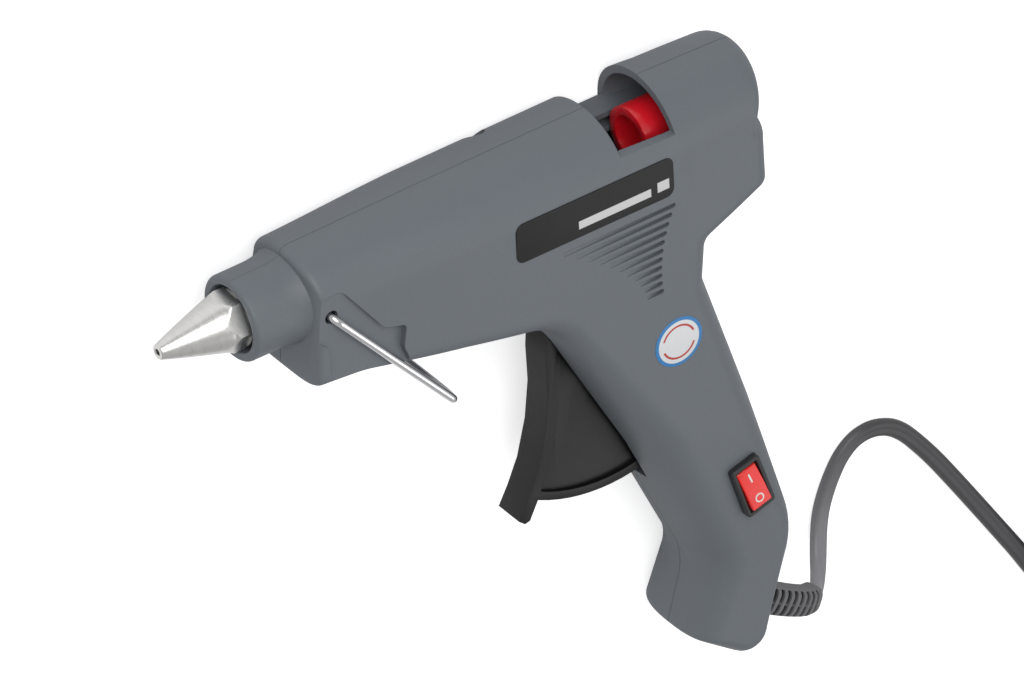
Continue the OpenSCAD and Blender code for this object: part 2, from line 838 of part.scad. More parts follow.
// ---- Label and sticker ----
module rating_label() {
    round_r = 2.4;
    color(black)
        translate([label_place.x - label_length / 2, label_place.y - label_height / 2, half_width])
            linear_extrude(label_thickness)
                polygon(rounded([[[0, 0], round_r], [[label_length, 0], round_r],
                    [[label_length, label_height], round_r], [[0, label_height], round_r]], 5));
}

module round_sticker() {
    color("white")
        boss(sticker_place, sticker_r, half_width, half_width + label_thickness);
}

// ---- Cord ----
floor_z = -half_width;
cord_z = floor_z + cord_thickness / 2;
// Route of the relief and the cord; the flat of the cord turns to lie on the floor.
relief_route = [[154, -156.7, 0], [158.1, -159.3, 0], [162.2, -161.9, -0.1], [166.2, -164.4, -0.6],
    [170, -166.7, -1.6], [173.4, -168.2, -3.2]];
cord_route = [[173.4, -168.2, -3.2], [176.6, -168.6, -5.4], [179.2, -167.6, -8.2],
    [181.4, -165.4, -10.9], [183.2, -162.2, -13.1], [184.8, -158.4, -14.8],
    [186.4, -154.2, -15.8], [188.1, -149.8, cord_z], [190.3, -145.2, cord_z],
    [193.4, -140.6, cord_z], [197.6, -137.4, cord_z], [202.6, -136.6, cord_z],
    [207.8, -138.2, cord_z], [212.2, -141.6, cord_z], [216.6, -147, cord_z],
    [221.8, -154.4, cord_z], [227.6, -163.6, cord_z], [233.6, -173.4, cord_z],
    [240, -184, cord_z], [246, -194, cord_z], [252, -204.4, cord_z]];
coil_place = [282, -187.2];
plug_z = floor_z + 6.85;
plug_place = [316.8, -148, plug_z];
end_route = [[316.8, -187, cord_z], [316.8, -178, -15.2], [316.8, -168, -13.2],
    [316.8, -158, -11.2], plug_place - [0, 4, 0], plug_place];

// Flat tube through the given points, with its wide side along the floor's plane. Its first ring
// is square to the lead-in, or to the first stretch where there is none.
module flat_tube(route, width, thickness, sides, lead_in = undef) {
    n = len(route);
    rings = [for (i = [0:n - 1])
        let (d = i == 0 && !is_undef(lead_in) ? unit(lead_in)
            : unit(route[min(i + 1, n - 1)] - route[max(i - 1, 0)]))
        let (across = unit(cross([0, 0, 1], d)), rise = cross(d, across))
        for (k = [0:sides - 1])
            let (a = 360 * (k + 0.5) / sides)
            route[i] + across * cos(a) * width / 2 + rise * sin(a) * thickness / 2];
    sides_faces = [for (i = [0:n - 2]) for (k = [0:sides - 1])
        let (a = i * sides + k, b = i * sides + (k + 1) % sides)
        each [[a, b, b + sides], [a, b + sides, a + sides]]];
    first = [for (k = [sides - 1:-1:0]) k];
    last = [for (k = [0:sides - 1]) (n - 1) * sides + k];
    polyhedron(points = rings, faces = [for (f = concat(sides_faces, [first, last]))
        [for (i = [len(f) - 1:-1:0]) f[i]]]);
}

module strain_relief() {
    color("#7d7d80") {
        flat_tube(relief_route, 8, 7.6, 12);
        translate([relief_exit.x, relief_exit.y, 0])
            rotate([0, 0, relief_angle])
                rotate([0, 90, 0]) {
                    translate([0, 0, -8.9])
                        cylinder(r = 5.5, h = 3.8, $fn = 48);
                    translate([0, 0, -12])
                        cylinder(r = 3.9, h = 12.1, $fn = 48);
                }
    }
}

module inner_cord() {
    color(cord_grey)
        in_handle(clamp_along - 4, 0)
            rotate([0, 90, 0])
                linear_extrude(-8 - clamp_along)
                    union() {
                        square([cord_thickness, cord_width - cord_thickness], center = true);
                        for (s = [-1, 1])
                            translate([0, s * (cord_width - cord_thickness) / 2])
                                circle(r = cord_thickness / 2, $fn = 24);
                    }
}

module cord_clamp() {
    color(black)
        in_handle(clamp_along, cord_thickness / 2)
            difference() {
                translate([-2.5, -8, 0])
                    cube([5, 16, clamp_thickness]);
                for (s = [-1, 1])
                    translate([0, s * clamp_screw_y, -1])
                        cylinder(r = clamp_screw_r + 0.2, h = 12, $fn = 24);
            }
}

module clamp_screws() {
    color(steel)
        in_handle(clamp_along, 0)
            for (s = [-1, 1])
                translate([0, s * clamp_screw_y, 0]) {
                    translate([0, 0, -8])
                        cylinder(r = clamp_screw_r, h = 8 + clamp_top + 0.5, $fn = 24);
                    translate([0, 0, clamp_top])
                        cylinder(r = 2, h = 1.4, $fn = 24);
                }
}

lead_d = 1.8;
inner_end = [relief_exit.x + (clamp_along - 4.02) * cos(relief_angle),
    relief_exit.y + (clamp_along - 4.02) * sin(relief_angle), 0];
joint_place = [137, -78, 9];
lead_end = heater_x + heater_size.x + lead_d / 2;
module lead(route) {
    flat_tube(route, lead_d, lead_d, 8);
}

module leads() {
    color("#3a62b0") {
        lead([inner_end + [0, 0, 1.1], inner_end + [-1.02, 0.64, 1.1], [134.7, -139.8, 2.8],
            [137.6, -129.6, 3.4], [138.6, -117, 3.6], [140.9, -111.6, 3.5]]);
        lead([inner_end + [0, 0, -1.1], inner_end + [-1.02, 0.64, -1.1], [134.7, -139.4, -3.2],
            [137.6, -128.5, -4.4], [135.4, -120, -6], [135, -106, -3],
            [135.4, -96, 4.5], [136.6, -90, 8.2], [137, -85.1, 9]]);
        lead([[143.6, -102.2, 3.5], [141.4, -98, 5], [139.8, -91, 9.4], [139, -85.1, 9.6]]);
        lead([[136, -70.9, 9], [136.6, -62, 9.4], [132.6, -45, 10], [124, -36, 10],
            [108, -27.5, 10], [90, -23, 9], [70, -18.4, 6.4], [58, -16.5, 3.6],
            [50, -15.4, 2.6], [lead_end, heater_y + 1.3, 2.4]]);
        lead([[138.2, -70.9, 8.6], [137, -62, 6.4], [131.6, -43.5, 6.4], [124, -32.4, 7.4],
            [108, -24.9, 7.4], [90, -20.4, 5], [70, -17, -0.6], [58, -16.5, -2.8],
            [50, -15.4, -2.8], [lead_end, heater_y + 1.3, -2.4]]);
    }
}

module wire_joint() {
    color("white")
        translate([joint_place.x - 3, joint_place.y - 7, joint_place.z - 2.5])
            cube([6, 14, 5.4]);
}

module cord() {
    color(cord_grey)
        flat_tube(cord_route, cord_width, cord_thickness, 8,
            relief_route[len(relief_route) - 1] - relief_route[len(relief_route) - 2]);
}

coil_columns = 2;
coil_layers = ceil(coil_turns / coil_columns);
coil_width = coil_columns * (cord_width + 0.3);
coil_height = coil_layers * (cord_thickness + 0.3);

module cord_coil() {
    bevel = 1.2;
    color(cord_grey)
        translate([coil_place.x, coil_place.y, floor_z])
            rotate_extrude($fn = 64)
                translate([coil_r, 0])
                    polygon([[-coil_width / 2 + bevel, 0], [coil_width / 2 - bevel, 0],
                        [coil_width / 2, bevel], [coil_width / 2, coil_height - bevel],
                        [coil_width / 2 - bevel, coil_height],
                        [-coil_width / 2 + bevel, coil_height],
                        [-coil_width / 2, coil_height - bevel], [-coil_width / 2, bevel]]);
}

module cord_tie() {
    band = 0.8;
    color(black)
        translate([coil_place.x, coil_place.y - coil_r, floor_z])
            difference() {
                translate([-2.5, -coil_width / 2 - band, 0])
                    cube([5, coil_width + 2 * band + 0.2, coil_height + band]);
                translate([-4, -coil_width / 2 - 0.02, -1])
                    cube([8, coil_width + 0.2, coil_height + 1.02]);
            }
}

module cord_end() {
    color(cord_grey)
        flat_tube(end_route, cord_width, cord_thickness, 8);
}

plug_width = 35.3;
plug_length = 34;
module plug() {
    thickness = -2 * (floor_z - plug_z);
    half = plug_width / 2;
    color(cord_grey)
        translate(plug_place)
            union() {
                translate([0, 0, -thickness / 2])
                    linear_extrude(thickness)
                        polygon(rounded([[[-6.5, 6], 2], [[6.5, 6], 2], [[half, 22], 5],
                            [[half, plug_length], 1.5], [[-half, plug_length], 1.5],
                            [[-half, 22], 5]], 4));
                rotate([-90, 0, 0])
                    cylinder(r1 = 3.4, r2 = 4.4, h = 7, $fn = 32);
            }
}

module plug_pins() {
    pin_length = 19;
    spacing = 18.6;
    color(steel)
        for (s = [-1, 1])
            translate([plug_place.x + s * spacing / 2, plug_place.y + plug_length, plug_z])
                rotate([-90, 0, 0])
                    cylinder(r = 2, h = pin_length, $fn = 32);
}

left_shell();
right_shell();
case_screws();
nozzle();
melt_chamber();
ptc_heater();
heater_clip();
front_insulator();
rear_insulator();
stick_sleeve();
sleeve_clamp();
rear_guide();
feed_carriage();
grip_lever();
grip_pin();
drive_pin();
trigger();
trigger_pin();
return_spring();
switch_body();
switch_terminals();
rocker();
wire_stand();
rating_label();
round_sticker();
strain_relief();
cord_clamp();
clamp_screws();
inner_cord();
leads();
wire_joint();
cord();
cord_coil();
cord_tie();
cord_end();
plug();
plug_pins();
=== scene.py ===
"""Finished pieces, materials, light and camera for a hot glue gun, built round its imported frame."""
import math

import bmesh
import bpy
import numpy as np
from bpy.props import FloatProperty, FloatVectorProperty, IntProperty, PointerProperty
from mathutils import Matrix, Vector
from mathutils.geometry import delaunay_2d_cdt


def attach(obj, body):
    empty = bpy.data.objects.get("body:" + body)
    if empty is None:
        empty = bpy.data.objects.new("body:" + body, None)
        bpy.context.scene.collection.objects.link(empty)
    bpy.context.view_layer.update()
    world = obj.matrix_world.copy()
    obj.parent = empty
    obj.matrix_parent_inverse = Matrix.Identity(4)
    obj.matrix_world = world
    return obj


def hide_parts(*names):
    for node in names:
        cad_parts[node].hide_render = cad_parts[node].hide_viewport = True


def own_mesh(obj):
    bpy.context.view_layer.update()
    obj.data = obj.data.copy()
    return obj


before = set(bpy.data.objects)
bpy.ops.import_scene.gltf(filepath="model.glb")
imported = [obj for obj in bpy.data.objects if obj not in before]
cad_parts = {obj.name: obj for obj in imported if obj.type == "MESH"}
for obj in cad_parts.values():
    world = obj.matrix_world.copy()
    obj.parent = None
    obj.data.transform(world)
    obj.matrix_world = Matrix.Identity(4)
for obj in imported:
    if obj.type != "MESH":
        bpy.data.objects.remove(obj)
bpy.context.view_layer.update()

bl_info = {
    "name": "Hot Glue Gun",
    "version": (1, 0, 0),
    "blender": (4, 5, 0),
    "location": "3D View > Sidebar > Glue Gun",
    "description": "Builds the finished casing, nozzle, trigger, switch, stand and cord of a glue gun",
    "category": "Object",
}

MM = 0.001


def srgb(red, green, blue):
    """Linear colour of a screen colour given as three numbers up to 255."""
    c = np.array([red, green, blue]) / 255.0
    return tuple(np.where(c <= 0.04045, c / 12.92, ((c + 0.055) / 1.055) ** 2.4).tolist())


def length(name, description, millimetres):
    """A size that is typed in the scene's length unit."""
    return FloatProperty(
        name=name, description=description, default=millimetres * MM, min=0.0,
        unit="LENGTH", precision=5)


def colour(name, description, red, green, blue):
    """A colour swatch."""
    return FloatVectorProperty(
        name=name, description=description, subtype="COLOR", size=3, min=0.0, max=1.0,
        default=srgb(red, green, blue))


def degrees(name, description, value):
    """An angle that is typed in degrees."""
    return FloatProperty(
        name=name, description=description, default=math.radians(value), subtype="ANGLE",
        unit="ROTATION")


class CasingSettings(bpy.types.PropertyGroup):
    """Sizes of the two moulded halves."""
    wall: length("Wall", "Thickness of the moulded wall", 2.2)
    window_front: length("Window Front", "Front edge of the feed window", 109)
    window_length: length("Window Length", "Length of the feed window along the barrel", 16.4)
    window_sill: length("Window Sill", "Height of the window's lower edge above the barrel's axis", 8.6)
    collar_radius: length("Collar Radius", "Outer radius of the nozzle collar", 11.7)
    collar_bore: length("Collar Bore", "Radius of the hole in the collar", 9.2)
    seam_depth: length("Seam Depth", "Depth of the parting line between the halves", 0.16)
    crown_fullness: FloatProperty(
        name="Crown Fullness", description="Share of each corner's own fullness; less is flatter",
        default=1.0, min=0.7, max=1.4)
    crown_steps: IntProperty(
        name="Crown Steps", description="Rows of faces from the parting line to the side face",
        default=18, min=6, max=60)
    vent_pitch: length("Vent Pitch", "Distance from one vent groove to the next", 2.44)
    vent_width: length("Vent Width", "Width of a vent groove", 1.3)
    vent_depth: length("Vent Depth", "Depth of a vent groove at its deep end", 1.25)


class NozzleSettings(bpy.types.PropertyGroup):
    """Sizes of the metal nozzle."""
    length: length("Length", "How far the nozzle stands out of the collar", 22.3)
    tip_radius: length("Tip Radius", "Radius of the tip's flat end", 2.2)
    orifice_radius: length("Orifice Radius", "Radius of the hole the glue leaves by", 0.9)
    base_radius: length("Base Radius", "Radius of the hexagonal base across its corners", 8.3)
    base_length: length("Base Length", "Length of the hexagonal base", 3.4)


class StandSettings(bpy.types.PropertyGroup):
    """Sizes of the wire stand."""
    wire_radius: length("Wire Radius", "Radius of the bent wire", 1.1)
    leg_length: length("Leg Length", "Length of each leg to its bend", 51.4)
    bow_radius: length("Bow Radius", "Radius of the bow that joins the legs", 26)
    bend_radius: length("Bend Radius", "Radius of the small bends", 3)
    lean: degrees("Lean", "Slope of the folded legs below the barrel", 49.5)


class SwitchSettings(bpy.types.PropertyGroup):
    """Sizes of the rocker switch."""
    bezel_width: length("Bezel Width", "Width of the frame round the rocker", 9)
    bezel_length: length("Bezel Length", "Length of the frame round the rocker", 16.7)
    bezel_height: length("Bezel Height", "Height of the frame above its seat", 2.4)
    tilt: degrees("Tilt", "Turn of the switch in the handle's side", 16.7)


class CordSettings(bpy.types.PropertyGroup):
    """Sizes of the mains cord and its coil."""
    width: length("Width", "Width of the flat twin cord", 4.8)
    thickness: length("Thickness", "Thickness of the flat twin cord", 3)
    inner_turn: length("Inner Turn", "Radius of the coil's inner turns", 24.45)
    outer_turn: length("Outer Turn", "Radius of the coil's outer turns", 29.55)
    layer_pitch: length("Layer Pitch", "Height from one layer of the coil to the next", 3.3)


class ColourSettings(bpy.types.PropertyGroup):
    """Colours of the finishes."""
    casing: colour("Casing", "Grey moulded plastic of the two halves", 106, 112, 118)
    trigger: colour("Trigger", "Black satin plastic", 11, 11, 12)
    bezel: colour("Bezel", "Dark grey plastic of the switch", 40, 42, 44)
    rocker: colour("Rocker", "Red plastic of the rocker", 244, 40, 34)
    carriage: colour("Carriage", "Red plastic of the feed carriage", 226, 26, 40)
    label: colour("Label", "Black ground of the long label", 5, 5, 6)
    relief: colour("Relief", "Grey rubber of the strain relief", 112, 112, 114)
    cord: colour("Cord", "Grey sheath of the cord", 72, 72, 74)
    steel: colour("Steel", "Bright wire and screws", 244, 244, 246)
    aluminium: colour("Aluminium", "Turned nozzle", 236, 235, 232)
    floor: colour("Floor", "Pale floor under the gun", 246, 246, 247)


# ---- Shapes, in millimetres: each is (points, faces) ----

def unit(v):
    """Vectors of length one along v."""
    return v / np.linalg.norm(v, axis=-1, keepdims=True)


def grid_faces(rows, columns, close_rows=False, close_columns=True):
    """Quads of a grid of points held row by row, joined round where it is closed."""
    r = np.arange(rows if close_rows else rows - 1)
    c = np.arange(columns if close_columns else columns - 1)
    r, c = np.meshgrid(r, c, indexing="ij")
    r1, c1 = (r + 1) % rows, (c + 1) % columns
    quads = np.stack([r * columns + c, r * columns + c1, r1 * columns + c1, r1 * columns + c], -1)
    return quads.reshape(-1, 4).tolist()


def loft(rings):
    """Closed solid through rings of points (rings, points, 3), with a flat face on each end."""
    rings = np.asarray(rings, float)
    rows, columns = rings.shape[:2]
    faces = grid_faces(rows, columns)
    faces += [list(range(columns)), list(range((rows - 1) * columns, rows * columns))]
    return rings.reshape(-1, 3), faces


def joined(shapes):
    """Several shapes held as one."""
    points, faces, base = [], [], 0
    for p, f in shapes:
        points.append(np.asarray(p, float))
        faces += [[i + base for i in face] for face in f]
        base += len(p)
    return np.vstack(points), faces


def mirrored(shape):
    """The shape's reflection in the parting plane z = 0."""
    return shape[0] * [1, 1, -1], shape[1]


def moved(shape, place):
    """The shape shifted by place."""
    return shape[0] + np.asarray(place, float), shape[1]


def circle(radius, count, start=0.0):
    """Points (radius cos a, radius sin a) at even angles a."""
    a = start + np.arange(count) * 2 * np.pi / count
    return np.stack([radius * np.cos(a), radius * np.sin(a)], -1)


def corner_arc(before, corner, after, radius, steps):
    """Arc of the given radius tangent to both sides of a corner: the start and stop radii about its
    centre are blended by sin((1-s)a)/sin(a) and sin(s a)/sin(a), where a is the angle turned."""
    u, v = unit(before - corner), unit(after - corner)
    half = math.acos(np.clip(u @ v, -1, 1)) / 2
    share = np.linspace(0, 1, steps + 1)[:, None]
    if half > math.radians(89.5):
        return corner + u * radius * (1 - 2 * share)
    centre = corner + unit(u + v) * radius / math.sin(half)
    start = corner + u * radius / math.tan(half) - centre
    stop = corner + v * radius / math.tan(half) - centre
    turn = math.pi - 2 * half
    return centre + (np.sin((1 - share) * turn) * start + np.sin(share * turn) * stop) / math.sin(turn)


def rounded(corners, radii, steps):
    """Outline with an arc at each corner."""
    corners = np.asarray(corners, float)
    before, after = np.roll(corners, 1, 0), np.roll(corners, -1, 0)
    return np.vstack([
        corner_arc(b, c, a, r, steps) for b, c, a, r in zip(before, corners, after, radii)])


def rounded_rectangle(width, height, radius, steps=6):
    """Rectangle about the origin with round corners."""
    w, h = width / 2, height / 2
    return rounded([[w, -h], [w, h], [-w, h], [-w, -h]], [radius] * 4, steps)


def shrunk(outline, distance):
    """Closed outline moved inwards by a distance along the mean of its two edge normals."""
    edge = unit(np.roll(outline, -1, 0) - outline + 1e-12)
    normal = np.stack([-edge[:, 1], edge[:, 0]], -1)
    mean = unit(normal + np.roll(normal, 1, 0))
    area = np.sum(outline[:, 0] * np.roll(outline[:, 1], -1) - outline[:, 1] * np.roll(outline[:, 0], -1))
    stretch = np.clip(np.sum(mean * normal, -1, keepdims=True), 0.4, 1)
    return outline + mean * distance / stretch * (1 if area > 0 else -1)


def flat_ring(outline, z):
    """The outline's points at height z."""
    return np.column_stack([outline, np.full(len(outline), float(z))])


def prism(outline, low, high):
    """Straight solid between two heights."""
    return loft([flat_ring(outline, low), flat_ring(outline, high)])


def slab(outline, low, high, edge, steps=3, round_low=False):
    """Plate with rounded edges: quarter circles of radius edge carry the outline in to the top, and
    to the bottom as well where round_low is set."""
    a = np.linspace(0, np.pi / 2, steps + 1)
    rings = [flat_ring(shrunk(outline, edge * (1 - math.cos(t))), high - edge + edge * math.sin(t))
             for t in a]
    if round_low:
        below = [flat_ring(shrunk(outline, edge * (1 - math.cos(t))), low + edge - edge * math.sin(t))
                 for t in a[::-1]]
    else:
        below = [flat_ring(outline, low)]
    return loft(below + rings)


def turned(profile, count, along=0, arc=None):
    """Surface of revolution of the closed profile [place along the axis, radius] about the X axis, or
    about Z where along is 2. A part turn, in radians, is closed by a flat face at each end."""
    profile = np.asarray(profile, float)
    full = arc is None
    a = np.arange(count) * 2 * np.pi / count if full else np.linspace(0, arc, count)
    x = np.repeat(profile[None, :, 0], len(a), 0)
    first = profile[None, :, 1] * np.cos(a)[:, None]
    second = profile[None, :, 1] * np.sin(a)[:, None]
    points = np.stack([x, first, second] if along == 0 else [first, second, x], -1)
    faces = grid_faces(len(a), len(profile), close_rows=full)
    if not full:
        n = len(profile)
        faces += [list(range(n)), list(range((len(a) - 1) * n, len(a) * n))]
    return points.reshape(-1, 3), faces


def smooth_path(points, pieces):
    """Curve through all the points: on each span a cubic with the tangents (next - last) / 2."""
    p = np.asarray(points, float)
    before = np.vstack([2 * p[0] - p[1], p[:-1]])
    after = np.vstack([p[1:], 2 * p[-1] - p[-2]])
    tangent = (after - before) / 2
    s = np.linspace(0, 1, pieces, endpoint=False)[:, None, None]
    cubic = ((2 * s**3 - 3 * s**2 + 1) * p[:-1] + (s**3 - 2 * s**2 + s) * tangent[:-1]
             + (3 * s**2 - 2 * s**3) * p[1:] + (s**3 - s**2) * tangent[1:])
    return np.vstack([cubic.transpose(1, 0, 2).reshape(-1, 3), p[-1:]])


def path_frames(path, up=(0, 0, 1)):
    """Unit vectors along the path, across it and level, and square to both."""
    step = np.gradient(path, axis=0)
    along = unit(step)
    across = unit(np.cross(np.asarray(up, float), along))
    return along, across, np.cross(along, across)


def swept(path, section, up=(0, 0, 1), scale=None):
    """Solid along a path: each section point [across, rise] is carried by the path's own frame."""
    path, section = np.asarray(path, float), np.asarray(section, float)
    _, across, rise = path_frames(path, up)
    size = np.ones(len(path)) if scale is None else np.asarray(scale, float)
    rings = (path[:, None] + size[:, None, None] * (
        section[None, :, :1] * across[:, None] + section[None, :, 1:] * rise[:, None]))
    return loft(rings)


def path_length(path):
    """Length of a line of points."""
    return float(np.linalg.norm(np.diff(path, axis=0), axis=1).sum())


# ---- Objects ----

def new_object(name, shape, angle=35.0):
    """Mesh object at the origin from a shape in millimetres, faces outwards, smooth below an angle."""
    points, faces = shape
    mesh = bpy.data.meshes.new(name)
    mesh.from_pydata((np.asarray(points) * MM).tolist(), [], faces)
    tidy = bmesh.new()
    tidy.from_mesh(mesh)
    bmesh.ops.remove_doubles(tidy, verts=tidy.verts, dist=1e-7)
    bmesh.ops.recalc_face_normals(tidy, faces=tidy.faces)
    tidy.to_mesh(mesh)
    tidy.free()
    made = bpy.data.objects.new(name, mesh)
    bpy.context.scene.collection.objects.link(made)
    smooth_below(made, angle)
    return made


def smooth_below(piece, angle):
    """Smooth shading with sharp edges above the angle, in degrees."""
    piece.data.shade_smooth()
    piece.data.set_sharp_from_angle(angle=math.radians(angle))


def apply_modifiers(piece):
    """The piece's modifiers made part of its mesh."""
    bpy.context.view_layer.update()
    evaluated = piece.evaluated_get(bpy.context.evaluated_depsgraph_get())
    mesh = bpy.data.meshes.new_from_object(evaluated)
    old = piece.data
    piece.modifiers.clear()
    piece.data = mesh
    mesh.name = piece.name
    bpy.data.meshes.remove(old)


def carve(piece, shapes, operation="DIFFERENCE"):
    """The piece less each shape in turn, or joined with it or kept where both are."""
    cutters = [new_object("cutter", s) for s in shapes]
    for cutter in cutters:
        modifier = piece.modifiers.new("Carve", "BOOLEAN")
        modifier.operation = operation
        modifier.solver = "EXACT"
        modifier.object = cutter
    apply_modifiers(piece)
    for cutter in cutters:
        bpy.data.objects.remove(cutter)
    if not piece.data.polygons:
        raise RuntimeError(f"nothing is left of {piece.name} after carving")


def merge_objects(piece, others):
    """Other objects' meshes added to the piece's own."""
    whole = bmesh.new()
    for o in [piece, *others]:
        whole.from_mesh(o.data)
    whole.to_mesh(piece.data)
    whole.free()
    for o in others:
        bpy.data.objects.remove(o)


def finish_piece(piece, body, material, nodes=()):
    """Gives the piece its material, the body it moves with and the solids it stands for."""
    piece.data.materials.clear()
    piece.data.materials.append(bpy.data.materials[material])
    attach(piece, body)
    if nodes:
        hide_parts(*nodes)
    return piece


def edged_copy(node, name, width, angle=30.0, segments=2):
    """Copy of a solid's mesh with its triangles merged into whole faces and its edges rounded."""
    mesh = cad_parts[node].data.copy()
    mesh.name = name
    whole = bmesh.new()
    whole.from_mesh(mesh)
    bmesh.ops.remove_doubles(whole, verts=whole.verts, dist=2e-6)
    bmesh.ops.dissolve_limit(
        whole, angle_limit=math.radians(0.5), verts=whole.verts, edges=whole.edges)
    whole.to_mesh(mesh)
    whole.free()
    made = bpy.data.objects.new(name, mesh)
    bpy.context.scene.collection.objects.link(made)
    if width > 0:
        bevel = made.modifiers.new("Round Edges", "BEVEL")
        bevel.width = width * MM
        bevel.segments = segments
        bevel.limit_method = "ANGLE"
        bevel.angle_limit = math.radians(angle)
        bevel.miter_outer = "MITER_ARC"
        bevel.use_clamp_overlap = True
        apply_modifiers(made)
    smooth_below(made, 38)
    return made


# ---- Casing form ----
# Each row is a parting-line corner x, y and its radius, the side-face corner x, y and its radius,
# and the power of the crown's curve there.
CASING_CORNERS = np.array([
    [14.3, -21.1, 2, 18.2, -15.4, 1, 4.5],
    [30, -22.5, 40, 31, -16.5, 30, 4],
    [60, -29.6, 10, 60, -22.6, 10, 3],
    [88, -37.8, 22, 91, -30.2, 18, 2.2],
    [112.8, -86.8, 60, 124, -83, 40, 2],
    [133, -133.5, 18, 143.4, -132, 14, 2.1],
    [127, -152.6, 1.6, 134.6, -152.6, 1.6, 2.6],
    [145.6, -167.6, 6, 145, -160.5, 4, 2.1],
    [162, -130, 24, 152, -130, 16, 1.9],
    [149.9, -85.5, 5, 139.6, -86, 5, 1.9],
    [136.6, -41, 12, 127, -42, 10, 2],
    [137.6, -30.6, 4.5, 129, -25, 4, 2],
    [156.6, -20.6, 2.5, 148.5, -16.6, 2, 2.2],
    [157, -4, 2.6, 148.8, -6, 1.6, 2.2],
    [154.2, -1.6, 1.5, 148, -3, 1.5, 2],
    [156.6, 17.2, 5, 151.4, 2.5, 2, 2],
    [124.4, 18.2, 8, 124.4, 2.5, 1, 2],
    [110, 15.5, 8, 109, 2.5, 3, 2],
    [62, 15.4, 5, 62, 2.5, 5, 2],
    [15.6, 14.9, 2.2, 19, 2, 1, 2],
])
SCREW_PLACES = [[24, -16.6], [66, -23], [84, 10.6], [146, -13], [131, -62], [143.5, -133.5]]
TRIGGER_SLOT = [[89.8, -30], [89.8, -58], [104, -82], [117.5, -101], [122.6, -101], [124, -74],
                [126, -40], [120, -30]]
STAND_POCKET = np.array([
    [19.5, -34, 1], [18.9, -9, 3], [14.5, -5, 3], [16.6, 5.2, 3], [23.5, 6.4, 3.4],
    [35.2, -9.6, 3], [41.6, -11.2, 1.4], [40.6, -18, 4], [43.6, -25.5, 1],
    [43.6, -34, 1]])
SWITCH_PLACE = np.array([142.3, -106.6])
STAND_PIVOT = np.array([20.5, -0.5])
RELIEF_EXIT = np.array([154, -156.7])
RELIEF_TURN = math.radians(-32)
HOOD_END = 152.0
RIGHT_SILL = -3.6
STICK_BORE = 6.05


def smoothstep(low, high, x):
    """0 below low, 1 above high, and 3t^2 - 2t^3 between."""
    t = np.clip((x - low) / (high - low), 0, 1)
    return t * t * (3 - 2 * t)


def half_thickness(place):
    """Height of the side face above the parting plane: 17.5 mm, less where the barrel narrows to the
    nozzle, where the hood ends and down the handle's foot."""
    x, y = place[..., 0], place[..., 1]
    nose = 2.1 * smoothstep(62, 15, x) * (y > -60)
    foot = 2.3 * smoothstep(-84, -152, y)
    hood = (0.9 * smoothstep(126, 132, x) + 0.9 * smoothstep(132, 154, x)) * smoothstep(-30, 3, y)
    return 17.5 - nose - foot - hood


def casing_lines(arc_steps, spacing):
    """The parting line, the side face's outline and the crown's power, point for point: arcs at the
    corners, and even points on the straights between them."""
    inner, outer = [], []
    count = len(CASING_CORNERS)
    for columns, lines in (((0, 1, 2), outer), ((3, 4, 5), inner)):
        c = CASING_CORNERS[:, columns]
        for i in range(count):
            lines.append(corner_arc(
                c[i - 1, :2], c[i, :2], c[(i + 1) % count, :2], c[i, 2], arc_steps))
    rim, side, powers = [], [], []
    for i in range(count):
        j = (i + 1) % count
        power, following = CASING_CORNERS[i, 6], CASING_CORNERS[j, 6]
        gap = max(np.linalg.norm(outer[j][0] - outer[i][-1]), np.linalg.norm(inner[j][0] - inner[i][-1]))
        s = np.linspace(0, 1, max(int(gap / spacing), 1), endpoint=False)[1:, None]
        rim += [outer[i], outer[i][-1] + s * (outer[j][0] - outer[i][-1])]
        side += [inner[i], inner[i][-1] + s * (inner[j][0] - inner[i][-1])]
        powers += [np.full(len(outer[i]), power), power + s[:, 0] * (following - power)]
    return np.vstack(rim), np.vstack(side), np.concatenate(powers)


def inside(points, outline):
    """Which points lie inside a closed outline, by the crossings of a level ray."""
    x, y = points[:, None, 0], points[:, None, 1]
    a, b = outline[None], np.roll(outline, -1, 0)[None]
    spans = (a[..., 1] > y) != (b[..., 1] > y)
    with np.errstate(divide="ignore", invalid="ignore"):
        cross = a[..., 0] + (y - a[..., 1]) * (b[..., 0] - a[..., 0]) / (b[..., 1] - a[..., 1])
    return (np.sum(spans & (x < cross), 1) % 2) == 1


def triangulated(outline, inner):
    """Triangles over a closed outline and the points inside it."""
    flat = np.vstack([outline, inner]) if len(inner) else outline
    ring = list(range(len(outline)))
    points, _, faces, *_ = delaunay_2d_cdt([Vector(p) for p in flat.tolist()], [], [ring], 1, 1e-6)
    return np.array([p[:] for p in points]), faces


